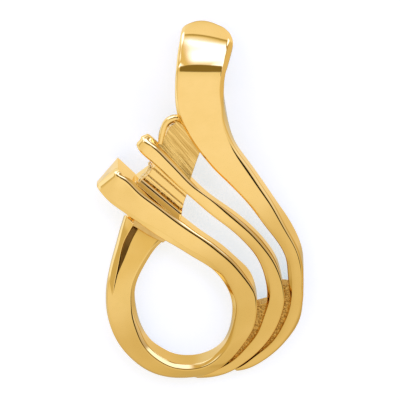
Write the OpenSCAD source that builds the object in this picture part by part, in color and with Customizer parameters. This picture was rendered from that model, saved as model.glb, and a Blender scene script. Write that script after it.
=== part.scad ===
// Slide pendant, one casting: three ribbons rise from a shared loop, and the widest folds over into a bail
// It lies on its back: x to the right, y up toward the bail, z out of the front; sizes in millimetres
// Its ribbons are laid out in tables as a front drawing shows them, twelve units to the millimetre

/* [Whole] */
// Length from the foot of the loop to the top of the bail
pendant_length = 31.2; // [20:0.5:45]

/* [Bail] */
// Thickness of the band that folds over the top
band_thickness = 0.95; // [0.6:0.05:1.4]
// Thickness of the back strap
strap_thickness = 0.75; // [0.5:0.05:1.2]
// How far down the back the strap reaches, as a height above the middle of the pendant
strap_foot = 8.4; // [7.5:0.1:9.5]
// Width of the small bevel along both edges of the band
band_bevel = 0.28; // [0.1:0.02:0.5]

/* [Ribbons] */
// Drop of the low edge below its crease
low_drop = 0.28; // [0.1:0.02:0.6]
// Drop of the rounded shoulder beyond the ridge
shoulder_drop = 0.42; // [0.2:0.02:0.8]
// Swell of a ribbon's front face between its creases
face_swell = 0.05; // [0:0.01:0.15]

/* [Seats] */
// Height of the upper seat where it meets the ribbons
upper_floor = 2.75; // [2.2:0.05:3]
// Height of the bottom of the upper seat's scoop
scoop_floor = 2.15; // [1.5:0.05:2.6]
// Radius of the scoop
scoop_radius = 2.4; // [1.8:0.1:4]
// Height of the lip round the upper seat
upper_lip = 2.95; // [2.4:0.05:3.2]
// Height of the lower seat's ledge
lower_floor = 1.9; // [1.4:0.05:2.4]
// Height of the bar beside the slot in the lower seat
lower_bar = 2.5; // [2:0.05:2.8]
// Height of the floor of the webs at the foot
web_floor = 1.1; // [0.6:0.05:1.5]

/* [Detail] */
// Steps between two rows of a table
steps = 4; // [2:1:8]
// Strips across the outer face of the bail
face_steps = 4; // [2:2:8]

/* [Hidden] */
gold = [0.85, 0.65, 0.30];
scoop_bearing = -50;   // direction of the scoop, turned from the x axis
unit = 1 / 12;   // one unit of the drawing
lean = 17;       // the drawing's line of sight leans this far from the front toward the bail
middle = [200.5, 197.8];   // where the drawing has the middle of the part

// Outer ribbon, from under the bail to its end at the foot
// Each row: low edge, low crease, ridge, high edge, each as [across, down, height], then the back's height
outer_rows = [
    [[175.4, 101, 3.8],   [178.4, 101, 4.08],   [220.6, 101, 4.12],   [223.9, 98, 3.5],     0],
    [[177.5, 115, 3.55],  [180.5, 114, 3.85],   [221, 109, 3.98],     [224.3, 108, 3.2],    0.2],
    [[182.5, 126, 3.35],  [185, 125, 3.62],     [221.7, 118, 3.85],   [226.9, 119, 2.2],    0.8],
    [[190, 139, 3.15],    [192, 138, 3.4],      [224.5, 130, 3.68],   [230.8, 132, 1.7],    1.3],
    [[200, 153, 2.95],    [201.6, 151.8, 3.2],  [231.5, 147, 3.42],   [237.3, 145.5, 1.6],  1.5],
    [[211.5, 167, 2.75],  [213, 165.6, 3],      [240.8, 161.7, 3.2],  [247.6, 159.7, 1.5],  1.45],
    [[224.5, 180, 2.58],  [226, 178.6, 2.8],    [251.5, 177, 3],      [258.6, 174.8, 1.35], 1.3],
    [[238.7, 194, 2.4],   [240.2, 192.6, 2.6],  [261.5, 191.7, 2.8],  [268.5, 189, 1.15],   1.1],
    [[252, 209, 2.2],     [253.8, 207.8, 2.4],  [270.6, 205, 2.6],    [278.4, 203.5, 1],    0.95],
    [[264, 225, 2.05],    [266.4, 223.5, 2.25], [279.5, 220.5, 2.43], [287.5, 216.6, 0.8],  0.75],
    [[275, 239, 1.92],    [277.8, 237.6, 2.13], [289.5, 238, 2.3],    [297, 233.7, 0.6],    0.55],
    [[283, 251.5, 1.83],  [286, 250.5, 2.04],   [296.5, 251.3, 2.18], [302.4, 249, 0.5],    0.4],
    [[287, 264, 1.78],    [290.3, 263.5, 1.98], [300.8, 266, 2.1],    [303.9, 264, 0.6],    0.25],
    [[288.4, 280, 1.7],   [292.4, 280, 1.93],   [302.3, 281, 2.02],   [303.9, 281, 0.8],    0.1],
    [[290.3, 298, 1.58],  [292.2, 298, 1.88],   [302, 297, 1.97],     [303.4, 297.3, 1.2],  0],
    [[287.7, 313.5, 1.5], [289, 314, 1.83],     [298.8, 315.5, 1.9],  [301.2, 316.5, 1.4],  0],
    [[281, 328.5, 1.42],  [282.2, 329.3, 1.74], [290.8, 332.5, 1.8],  [292.8, 333.7, 1.35], 0],
    [[270.5, 343.7, 1.3], [271.4, 344.7, 1.62], [278.8, 347.8, 1.62], [280.3, 348.6, 1.2],  0],
    [[256, 355.9, 1.2],   [256.6, 357, 1.48],   [264.3, 360, 1.4],    [265.3, 360.9, 1.05], 0],
    [[243, 366, 1.08],    [243.4, 366.9, 1.3],  [248, 369, 1.15],     [248.5, 369.8, 0.85], 0],
    [[234, 370.4, 0.85],  [234.2, 370.8, 1],    [236.5, 371.4, 0.9],  [236.7, 371.8, 0.7],  0]];

// Middle ribbon, from its free tip to its end at the foot, with the same columns
middle_rows = [
    [[136.6, 145.6, 2.7],  [137.6, 143.6, 2.85], [140.8, 140.6, 2.95], [147.6, 134.5, 2.6],  2.35],
    [[139.3, 151, 2.87],   [140.7, 149.4, 3.03], [146.4, 143.2, 3.15], [151.6, 137.6, 2.75], 2.25],
    [[144, 156, 2.85],     [145.4, 154.6, 3.02], [153.2, 147.2, 3.17], [156.8, 143.2, 2.72], 2.05],
    [[155, 165.5, 2.78],   [156.4, 164.2, 2.95], [164.5, 157.3, 3.08], [167.5, 154, 2.65],   1.8],
    [[166.5, 176.3, 2.63], [167.9, 174.9, 2.8],  [176, 169, 2.92],     [179.2, 166, 2.4],    1.5],
    [[180, 188.4, 2.45],   [181.3, 187, 2.6],    [189, 182.8, 2.74],   [192.6, 178.2, 1.5],  1.3],
    [[195, 201.3, 2.25],   [196.3, 199.9, 2.4],  [203, 194.4, 2.58],   [206.6, 191, 1.2],    1.15],
    [[213, 216.6, 2.05],   [214.4, 215.1, 2.2],  [220.8, 208.3, 2.4],  [225.4, 204.7, 1.05], 1],
    [[230, 229.4, 1.9],    [231.5, 227.8, 2.05], [237, 222, 2.25],     [242, 217, 0.9],      0.85],
    [[244.8, 243, 1.78],   [246.8, 241.5, 1.95], [252.7, 235.6, 2.13], [258.3, 232.1, 0.75], 0.7],
    [[256, 256.5, 1.7],    [258.2, 255.3, 1.88], [265.2, 249.8, 2.04], [270.6, 247, 0.6],    0.5],
    [[263.3, 272, 1.63],   [266.4, 271.2, 1.83], [275.8, 265.8, 1.95], [279.2, 264, 0.5],    0.3],
    [[266.6, 286, 1.55],   [270.2, 286, 1.78],   [281.6, 282, 1.88],   [283, 281.5, 0.7],    0.15],
    [[267.3, 300, 1.48],   [270, 300.5, 1.75],   [284.1, 298, 1.82],   [284.9, 298, 1.4],    0],
    [[263.9, 315, 1.42],   [265.4, 315.5, 1.72], [280.6, 316.5, 1.78], [281.4, 317, 1.35],   0],
    [[257.8, 331.5, 1.35], [259.2, 332.3, 1.66], [273.4, 332.8, 1.72], [274.4, 333.6, 1.3],  0],
    [[247.5, 346, 1.27],   [248.5, 347, 1.56],   [261.8, 348.3, 1.6],  [262.8, 349.2, 1.2],  0],
    [[234.6, 359.5, 1.15], [235.3, 360.5, 1.42], [247, 361.6, 1.42],   [247.8, 362.5, 1.05], 0],
    [[219.5, 369.2, 1],    [219.9, 370, 1.24],   [230.5, 371.8, 1.18], [231, 373, 0.85],     0],
    [[206, 375.2, 0.88],   [206.3, 376, 1.04],   [214, 377.2, 0.9],    [214.3, 378.3, 0.6],  0],
    [[193, 378.2, 0.7],    [193.2, 378.5, 0.8],  [197, 378.9, 0.65],   [197.1, 379.3, 0.45], 0]];

// Loop ribbon, from its square head round the big opening and back under itself, with the same columns
loop_rows = [
    [[96.7, 186.7, 1.5],  [98, 184.2, 1.7],     [114.2, 170.8, 2.93], [117.8, 157.6, 0.1],  0.1],
    [[100, 191.6, 1.7],   [102.2, 188.8, 1.95], [117, 176.7, 3.2],    [122.4, 161.8, 0.1],  0.1],
    [[106, 198.8, 1.75],  [108, 196.3, 2],      [122, 178.7, 3.17],   [129.7, 168.6, 0.1],  0.1],
    [[118.3, 208.8, 1.75],[120.3, 206, 2],      [133.5, 189, 3.08],   [141, 179.6, 0.3],    0.3],
    [[131, 217.8, 1.7],   [133.2, 215, 1.98],   [146.5, 200.2, 2.94], [152, 192, 0.7],      0.45],
    [[146, 228.3, 1.65],  [148.5, 224.5, 1.94], [160.3, 210.4, 2.76], [165.5, 204, 0.9],    0.6],
    [[161, 238.4, 1.6],   [163.2, 232.7, 1.9],  [174.4, 221.4, 2.57], [180, 214.3, 0.85],   0.7],
    [[176.5, 247.2, 1.55],[179, 243, 1.86],     [190, 232.4, 2.4],    [195.6, 226.3, 0.8],  0.75],
    [[193.3, 257.6, 1.5], [196, 253, 1.82],     [206.6, 243.5, 2.25], [213, 238.4, 0.7],    0.65],
    [[208.8, 267, 1.45],  [212.5, 263.4, 1.78], [221.4, 254.8, 2.13], [228, 249.8, 0.6],    0.55],
    [[220.4, 278, 1.42],  [225.2, 277.6, 1.75], [235, 266.8, 2.03],   [241.8, 262.4, 0.45], 0.4],
    [[228, 290, 1.4],     [232.2, 289.4, 1.75], [247, 281.4, 1.96],   [252.6, 276.6, 0.4],  0.3],
    [[231.6, 300.5, 1.3], [236.4, 300, 1.8],    [255, 295, 1.93],     [257.2, 295, 0.5],    0.15],
    [[232.5, 312.5, 1.1], [237.9, 312.5, 1.86], [256.3, 312, 1.88],   [257.2, 312, 1.4],    0.05],
    [[231, 325, 0.7],     [236, 325.8, 1.93],   [253.2, 328, 1.82],   [254.2, 328.6, 1.35], 0],
    [[226.3, 337.2, 0.3], [231.6, 339, 2],      [245.2, 342, 1.74],   [246, 342.7, 1.3],    0],
    [[218.5, 346.3, 0.1], [224, 350.5, 2.08],   [234, 356.5, 1.62],   [234.8, 357.3, 1.2],  0],
    [[209, 352, 0.1],     [213, 361.5, 2.16],   [219.6, 369, 1.48],   [220, 369.9, 1.1],    0],
    [[198.3, 355.4, 0.1], [200, 367.6, 2.2],    [203.2, 376, 1.34],   [203.5, 376.9, 1],    0],
    [[187.4, 356.4, 0.1], [187.4, 369.4, 2.2],  [187.4, 378.2, 1.3],  [187.4, 379.2, 0.95], 0],
    [[174, 354.7, 0.1],   [172.5, 367.3, 2.19], [170, 377.5, 1.33],   [169.7, 378.8, 0.98], 0],
    [[160.5, 348.2, 0.1], [156.3, 358.9, 2.14], [149.5, 371.3, 1.4],  [148.7, 372.6, 1.05], 0],
    [[149.3, 339.7, 0.2], [143.3, 345.3, 2.05], [131.5, 357.8, 1.46], [130.2, 359.2, 1.1],  0],
    [[141, 327, 0.4],     [135.6, 331, 1.95],   [118.7, 341, 1.5],    [116.7, 342.3, 1.15], 0],
    [[136.7, 314, 0.6],   [131.6, 315.5, 1.86], [110, 319.5, 1.5],    [107.8, 320, 1],      0],
    [[134.4, 299, 0.8],   [130.6, 300, 1.79],   [107.4, 301.5, 1.45], [105.3, 301.5, 0.6],  0],
    [[135.7, 285, 1],     [131.8, 285.3, 1.7],  [108, 285.5, 1.38],   [106, 285.5, 0.3],    0],
    [[141.2, 271.3, 1.05],[137.4, 271, 1.6],    [111, 269.5, 1.3],    [108.8, 269, 0.1],    0],
    [[149.8, 256.5, 1],   [146.5, 255.5, 1.48], [115.3, 252.5, 1.23], [113.2, 252, 0.1],    0],
    [[158.8, 245, 0.9],   [156, 243.5, 1.32],   [119.8, 236, 1.18],   [117.8, 235.5, 0.1],  0],
    [[168, 237, 0.8],     [165.5, 234.5, 1.15], [125, 222, 1.12],     [122.6, 221, 0.1],    0],
    [[173, 230, 0.7],     [171, 227, 1],        [132, 213, 1.05],     [130, 212, 0.3],      0.05]];

// Rim that stands along the outside of the loop's left arm, with the same columns
rim_rows = [
    [[121.6, 222, 0.1],   [124.2, 222, 1.52],   [133.4, 229.5, 1.58], [134.4, 230, 1.3],    0.6],
    [[119.5, 229.5, 0.1], [121.9, 230, 1.55],   [130.6, 235, 1.6],    [131.8, 235.6, 1.3],  0.6],
    [[115.7, 243, 0.1],   [118.1, 243.6, 1.56], [125, 244.5, 1.6],    [126.2, 245, 1.3],    0.6],
    [[111, 260, 0.1],     [113.4, 260.5, 1.56], [120.3, 262, 1.58],   [121.5, 262.3, 1.32], 0.6],
    [[107, 278, 0.3],     [109.4, 278, 1.55],   [116, 278.5, 1.56],   [117.2, 278.6, 1.35], 0.6],
    [[105.3, 297, 0.6],   [107.4, 297, 1.52],   [112.4, 297, 1.55],   [113.6, 297, 1.4],    0.6],
    [[106.2, 311, 0.9],   [107.6, 311, 1.38],   [112.4, 311, 1.42],   [113.4, 311, 1.35],   0.6]];

// Bail, from the front of the outer ribbon over the top to the back strap
// Each row: y and z of the outer face, tilt of the face, x of the left and of the right edge, crown across
bail_rows = [
    [9.4, 4.12, -6, -2.06, 1.94, 0.02],
    [10.5, 4.26, -5, -2.11, 1.94, 0.02],
    [11.56, 4.36, -2, -2.1, 1.98, 0.02],
    [12.13, 4.38, 6, -2.07, 2.08, 0.03],
    [12.83, 4.18, 27, -2, 2.28, 0.05],
    [13.76, 3.56, 36, -1.86, 2.55, 0.07],
    [14.66, 2.86, 43, -1.68, 2.7, 0.12],
    [15.13, 2.36, 53, -1.58, 2.66, 0.18],
    [15.49, 1.8, 68, -1.52, 2.52, 0.25],
    [15.69, 1.05, 86, -1.42, 2.3, 0.36],
    [15.64, 0.5, 108, -1.26, 2.02, 0.32],
    [15.33, 0.12, 145, -1.08, 1.72, 0.15],
    [14.91, 0, 180, -1.08, 1.67, 0],
    [12, 0, 180, -1.18, 1.72, 0]];

// Outlines of the seats and webs, as [across, down] at the height of their floors
upper_seat_outline = [
    [153, 148], [156, 143], [158.5, 138], [161, 131], [165, 126.5], [172, 124], [180, 122.5],
    [190, 138], [206, 156], [200, 159.5], [197.6, 165.5], [193.6, 172.5], [192, 179], [189, 186], [170, 170]];
upper_lip_outline = [
    [152.8, 147], [155.2, 143], [157.3, 138.5], [159.2, 133.5], [161.6, 128.3], [165.8, 124.5], [172, 122],
    [180, 120], [181, 124.5], [173, 126.5], [168.2, 128.8], [165.8, 132.2], [164.3, 136.5], [163.2, 141.5],
    [161, 148]];
lower_seat_outline = [
    [146, 154], [145.7, 175], [139.5, 183.5], [145, 192], [160, 205], [178, 219], [181, 212.5], [184.5, 204.5],
    [188, 198], [170, 180]];
lower_slot_outline = [[146.4, 182], [148.4, 178.4], [179.6, 199.8], [179.4, 205.6]];
lower_bar_outline = [[149.4, 175.4], [148.6, 169], [153.6, 163.6], [183, 191], [178.6, 198]];
inner_web_outline = [
    [254, 308.4], [272, 303.4], [271, 310], [265, 321], [259.5, 335], [248, 350], [235, 364], [230, 362],
    [243, 346], [251, 331], [254.5, 320]];
outer_web_outline = [
    [280, 285.4], [295, 286.8], [295, 297], [291, 313], [283, 330], [271, 346], [256, 359], [242, 369],
    [237, 369], [247, 361], [262, 347.5], [274, 332], [281, 315], [284, 301]];

// Turns a point of the front drawing at a height into x, y and z
function spot(p) = [
    (p[0] - middle[0]) * unit,
    ((middle[1] - p[1]) * unit + p[2] * sin(lean)) / cos(lean),
    p[2]];

// Smooth curve through a list at position t, counted in rows
function curve(list, t) =
    let (
        last = len(list) - 1,
        i = min(floor(t), last - 1),
        f = t - i,
        before = list[max(i - 1, 0)],
        from = list[i],
        to = list[i + 1],
        after = list[min(i + 2, last)])
    0.5 * (2 * from + (to - before) * f
        + (2 * before - 5 * from + 4 * to - after) * f * f
        + (3 * from - before - 3 * to + after) * f * f * f);

// One column of a table of rows
function column(rows, n) = [for (row = rows) row[n]];

// Closed section of a ribbon at position t
function ribbon_section(rows, t) =
    let (
        low = spot(curve(column(rows, 0), t)),
        crease = spot(curve(column(rows, 1), t)),
        ridge = spot(curve(column(rows, 2), t)),
        high = spot(curve(column(rows, 3), t)),
        back = max(curve(column(rows, 4), t), 0),
        low_top = max(crease[2] - low_drop, back + 0.1),
        high_top = max(ridge[2] - shoulder_drop, back + 0.1),
        swell = [0, 0, face_swell])
    [
        [high[0], high[1], back],
        [high[0], high[1], high_top],
        [ridge[0] + (high[0] - ridge[0]) * 0.65, ridge[1] + (high[1] - ridge[1]) * 0.65,
            ridge[2] - shoulder_drop * 0.35],
        ridge,
        crease + (ridge - crease) * 2 / 3 + swell,
        crease + (ridge - crease) / 3 + swell,
        crease,
        [low[0], low[1], low_top],
        [low[0], low[1], back]];

// Closed section of the bail at position t: left to right over the outer face, then back along the inner one
function bail_section(t) =
    let (
        row = curve(bail_rows, t),
        out = [0, sin(row[2]), cos(row[2])],
        thick = band_thickness + (strap_thickness - band_thickness) * min(max((t - 7) / 4, 0), 1),
        face = [0, row[0], row[1]],
        edge = face - out * row[5],
        side = edge - out * band_bevel,
        under = face - out * thick,
        across = [row[3] + band_bevel, row[4] - band_bevel],
        points = concat(
            [for (k = [0 : face_steps])
                let (f = k / face_steps)
                [across[0] + (across[1] - across[0]) * f, 0, 0] + face - out * row[5] * pow(2 * f - 1, 2)],
            [
                [row[4], 0, 0] + side,
                [row[4], 0, 0] + under + out * 0.15,
                [row[4] - 0.15, 0, 0] + under,
                [row[3] + 0.15, 0, 0] + under,
                [row[3], 0, 0] + under + out * 0.15,
                [row[3], 0, 0] + side]))
    [for (p = points) [p[0], p[1], max(p[2], 0)]];

// Solid through closed sections that have equal numbers of corners
module loft(sections) {
    corners = len(sections[0]);
    last = len(sections) - 1;
    sides = [for (s = [0 : last - 1]) for (c = [0 : corners - 1])
        let (a = s * corners + c, b = s * corners + (c + 1) % corners)
        each [[a, a + corners, b + corners], [a, b + corners, b]]];
    starts = [for (c = [1 : corners - 2]) [0, c, c + 1]];
    ends = [for (c = [1 : corners - 2]) [last * corners, last * corners + c + 1, last * corners + c]];
    polyhedron([for (s = sections) each s], concat(sides, starts, ends), convexity = 8);
}

// Ribbon through a table of rows
module ribbon(rows) {
    count = (len(rows) - 1) * steps;
    loft([for (i = [0 : count]) ribbon_section(rows, i / steps)]);
}

// Slab with an outline from the front drawing, from one height up to another, drawn at the height called seen
module slab(outline, bottom, top, seen) {
    translate([0, 0, bottom])
        linear_extrude(top - bottom)
            polygon([for (p = outline) let (s = spot([p[0], p[1], seen])) [s[0], s[1]]]);
}

// Band that folds from the front over the top and down the back
module bail() {
    count = (len(bail_rows) - 1) * steps;
    loft([for (i = [0 : count]) bail_section(i / steps)]);
    // strap, which runs down the back into the root of the outer ribbon
    translate([-1.18, strap_foot, 0])
        cube([2.9, 12.4 - strap_foot, strap_thickness]);
}

// Empty seat between the outer and the middle ribbon, scooped, with a lobed lip at its upper left
module upper_seat() {
    middle_of_scoop = spot([182, 145, scoop_floor]);
    difference() {
        slab(upper_seat_outline, 1.2, upper_floor, upper_floor);
        translate([middle_of_scoop[0], middle_of_scoop[1], scoop_floor + scoop_radius])
            rotate([0, 0, scoop_bearing])
                rotate([0, 90, 0])
                    cylinder(h = 12, r = scoop_radius, center = true, $fn = 48);
    }
    slab(upper_lip_outline, 1.2, upper_lip, upper_lip);
}

// Empty seat between the middle and the loop ribbon, with a bar beside a narrow slot
module lower_seat() {
    difference() {
        union() {
            slab(lower_seat_outline, 0.7, lower_floor, lower_floor);
            slab(lower_bar_outline, 0.7, lower_bar, lower_bar);
        }
        slab(lower_slot_outline, 0, lower_bar + 1, lower_floor);
    }
}

// Low webs that join the ribbons at the lower right
module webs() {
    slab(inner_web_outline, 0, web_floor, web_floor);
    slab(outer_web_outline, 0, web_floor, web_floor);
}

// Whole casting, drawn to its full length
module slide_casting() {
    color(gold)
        resize([0, pendant_length, 0], auto = true)
            union() {
                bail();
                ribbon(outer_rows);
                ribbon(middle_rows);
                ribbon(loop_rows);
                ribbon(rim_rows);
                upper_seat();
                lower_seat();
                webs();
            }
}

slide_casting();
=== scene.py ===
"""Gold slide pendant: smooth polished surfaces, its floor, its light and its camera.

The tables hold the ribbons as the front drawing shows them, twelve units to the millimetre and seen along a
lean of 17 degrees toward the bail. Every surface is a grid of points worked out as whole arrays.
"""

import logging
import math
from dataclasses import dataclass, field
from enum import Enum, auto
from functools import partial, reduce
from operator import mul
from typing import Any, Optional, Sequence, Union

import bpy
import numpy as np
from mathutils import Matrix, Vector

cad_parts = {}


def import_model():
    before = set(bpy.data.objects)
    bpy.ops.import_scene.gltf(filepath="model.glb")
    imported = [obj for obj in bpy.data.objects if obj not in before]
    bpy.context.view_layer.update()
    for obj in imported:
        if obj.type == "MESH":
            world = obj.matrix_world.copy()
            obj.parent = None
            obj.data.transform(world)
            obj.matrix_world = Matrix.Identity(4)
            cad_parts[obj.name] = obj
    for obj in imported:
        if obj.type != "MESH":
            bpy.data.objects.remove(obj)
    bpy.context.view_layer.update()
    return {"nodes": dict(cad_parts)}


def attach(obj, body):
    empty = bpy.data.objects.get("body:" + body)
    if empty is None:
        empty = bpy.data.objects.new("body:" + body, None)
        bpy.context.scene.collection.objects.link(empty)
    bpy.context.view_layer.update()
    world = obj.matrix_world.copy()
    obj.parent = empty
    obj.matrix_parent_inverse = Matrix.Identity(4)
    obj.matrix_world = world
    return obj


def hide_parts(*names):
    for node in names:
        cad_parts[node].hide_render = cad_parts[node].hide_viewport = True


Array = np.ndarray
Table = Sequence[Sequence[Any]]
Tone = tuple[float, float, float]
log = logging.getLogger("slide_pendant")

CASTING = "slide_casting"
MM = 0.001
UP = np.array([0, 0, 1])

# Lengths in millimetres, of the pendant and of what the tables give
PENDANT_LENGTH = 31.2
DRAWN_LENGTH = 31.38


@dataclass(frozen=True)
class Drawing:
    """The front drawing that the tables are read in.

    Attributes:
        unit: Millimetres in one unit of the drawing.
        lean: Angle between the line of sight and the front's normal, in radians.
        across: Place of the pendant's middle across the drawing.
        down: Place of the pendant's middle down the drawing.
        size: Size of the casting against the drawing.
    """

    unit: float = 1 / 12
    lean: float = math.radians(17)
    across: float = 200.5
    down: float = 197.8
    size: float = PENDANT_LENGTH / DRAWN_LENGTH

    def spot(self, marks: Any) -> Array:
        """Turns marks of the drawing into places in millimetres.

        x is the mark's distance across. y is its distance up, plus height times the sine of the lean, all
        over the cosine of the lean. z is the height.

        Args:
            marks: [across, down, height] along the last axis.

        Returns:
            [x, y, z] along the last axis, in millimetres before the casting's size is applied.
        """
        marks = np.asarray(marks, float)
        x = (marks[..., 0] - self.across) * self.unit
        up = (self.down - marks[..., 1]) * self.unit
        y = (up + marks[..., 2] * math.sin(self.lean)) / math.cos(self.lean)
        return np.stack([x, y, marks[..., 2]], axis=-1)


DRAWING = Drawing()


# Tables of the drawing

# Outer ribbon, from under the bail to its end at the foot
# Each row: low edge, low crease, ridge, high edge, each as [across, down, height], then the back's height
OUTER_ROWS: Table = [
    [[175.4, 101, 3.8], [178.4, 101, 4.08], [220.6, 101, 4.12], [223.9, 98, 3.5], 0],
    [[177.5, 115, 3.55], [180.5, 114, 3.85], [221, 109, 3.98], [224.3, 108, 3.2], 0.2],
    [[182.5, 126, 3.35], [185, 125, 3.62], [221.7, 118, 3.85], [226.9, 119, 2.2], 0.8],
    [[190, 139, 3.15], [192, 138, 3.4], [224.5, 130, 3.68], [230.8, 132, 1.7], 1.3],
    [[200, 153, 2.95], [201.6, 151.8, 3.2], [231.5, 147, 3.42], [237.3, 145.5, 1.6], 1.5],
    [[211.5, 167, 2.75], [213, 165.6, 3], [240.8, 161.7, 3.2], [247.6, 159.7, 1.5], 1.45],
    [[224.5, 180, 2.58], [226, 178.6, 2.8], [251.5, 177, 3], [258.6, 174.8, 1.35], 1.3],
    [[238.7, 194, 2.4], [240.2, 192.6, 2.6], [261.5, 191.7, 2.8], [268.5, 189, 1.15], 1.1],
    [[252, 209, 2.2], [253.8, 207.8, 2.4], [270.6, 205, 2.6], [278.4, 203.5, 1], 0.95],
    [[264, 225, 2.05], [266.4, 223.5, 2.25], [279.5, 220.5, 2.43], [287.5, 216.6, 0.8], 0.75],
    [[275, 239, 1.92], [277.8, 237.6, 2.13], [289.5, 238, 2.3], [297, 233.7, 0.6], 0.55],
    [[283, 251.5, 1.83], [286, 250.5, 2.04], [296.5, 251.3, 2.18], [302.4, 249, 0.5], 0.4],
    [[287, 264, 1.78], [290.3, 263.5, 1.98], [300.8, 266, 2.1], [303.9, 264, 0.6], 0.25],
    [[288.4, 280, 1.7], [292.4, 280, 1.93], [302.3, 281, 2.02], [303.9, 281, 0.8], 0.1],
    [[290.3, 298, 1.58], [292.2, 298, 1.88], [302, 297, 1.97], [303.4, 297.3, 1.2], 0],
    [[287.7, 313.5, 1.5], [289, 314, 1.83], [298.8, 315.5, 1.9], [301.2, 316.5, 1.4], 0],
    [[281, 328.5, 1.42], [282.2, 329.3, 1.74], [290.8, 332.5, 1.8], [292.8, 333.7, 1.35], 0],
    [[270.5, 343.7, 1.3], [271.4, 344.7, 1.62], [278.8, 347.8, 1.62], [280.3, 348.6, 1.2], 0],
    [[256, 355.9, 1.2], [256.6, 357, 1.48], [264.3, 360, 1.4], [265.3, 360.9, 1.05], 0],
    [[243, 366, 1.08], [243.4, 366.9, 1.3], [248, 369, 1.15], [248.5, 369.8, 0.85], 0],
    [[234, 370.4, 0.85], [234.2, 370.8, 1], [236.5, 371.4, 0.9], [236.7, 371.8, 0.7], 0],
]

# Middle ribbon, from its free tip to its end at the foot, with the same columns
MIDDLE_ROWS: Table = [
    [[136.6, 145.6, 2.7], [137.6, 143.6, 2.85], [140.8, 140.6, 2.95], [147.6, 134.5, 2.6], 2.35],
    [[139.3, 151, 2.87], [140.7, 149.4, 3.03], [146.4, 143.2, 3.15], [151.6, 137.6, 2.75], 2.25],
    [[144, 156, 2.85], [145.4, 154.6, 3.02], [153.2, 147.2, 3.17], [156.8, 143.2, 2.72], 2.05],
    [[155, 165.5, 2.78], [156.4, 164.2, 2.95], [164.5, 157.3, 3.08], [167.5, 154, 2.65], 1.8],
    [[166.5, 176.3, 2.63], [167.9, 174.9, 2.8], [176, 169, 2.92], [179.2, 166, 2.4], 1.5],
    [[180, 188.4, 2.45], [181.3, 187, 2.6], [189, 182.8, 2.74], [192.6, 178.2, 1.5], 1.3],
    [[195, 201.3, 2.25], [196.3, 199.9, 2.4], [203, 194.4, 2.58], [206.6, 191, 1.2], 1.15],
    [[213, 216.6, 2.05], [214.4, 215.1, 2.2], [220.8, 208.3, 2.4], [225.4, 204.7, 1.05], 1],
    [[230, 229.4, 1.9], [231.5, 227.8, 2.05], [237, 222, 2.25], [242, 217, 0.9], 0.85],
    [[244.8, 243, 1.78], [246.8, 241.5, 1.95], [252.7, 235.6, 2.13], [258.3, 232.1, 0.75], 0.7],
    [[256, 256.5, 1.7], [258.2, 255.3, 1.88], [265.2, 249.8, 2.04], [270.6, 247, 0.6], 0.5],
    [[263.3, 272, 1.63], [266.4, 271.2, 1.83], [275.8, 265.8, 1.95], [279.2, 264, 0.5], 0.3],
    [[266.6, 286, 1.55], [270.2, 286, 1.78], [281.6, 282, 1.88], [283, 281.5, 0.7], 0.15],
    [[267.3, 300, 1.48], [270, 300.5, 1.75], [284.1, 298, 1.82], [284.9, 298, 1.4], 0],
    [[263.9, 315, 1.42], [265.4, 315.5, 1.72], [280.6, 316.5, 1.78], [281.4, 317, 1.35], 0],
    [[257.8, 331.5, 1.35], [259.2, 332.3, 1.66], [273.4, 332.8, 1.72], [274.4, 333.6, 1.3], 0],
    [[247.5, 346, 1.27], [248.5, 347, 1.56], [261.8, 348.3, 1.6], [262.8, 349.2, 1.2], 0],
    [[234.6, 359.5, 1.15], [235.3, 360.5, 1.42], [247, 361.6, 1.42], [247.8, 362.5, 1.05], 0],
    [[219.5, 369.2, 1], [219.9, 370, 1.24], [230.5, 371.8, 1.18], [231, 373, 0.85], 0],
    [[206, 375.2, 0.88], [206.3, 376, 1.04], [214, 377.2, 0.9], [214.3, 378.3, 0.6], 0],
    [[193, 378.2, 0.7], [193.2, 378.5, 0.8], [197, 378.9, 0.65], [197.1, 379.3, 0.45], 0],
]

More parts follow.
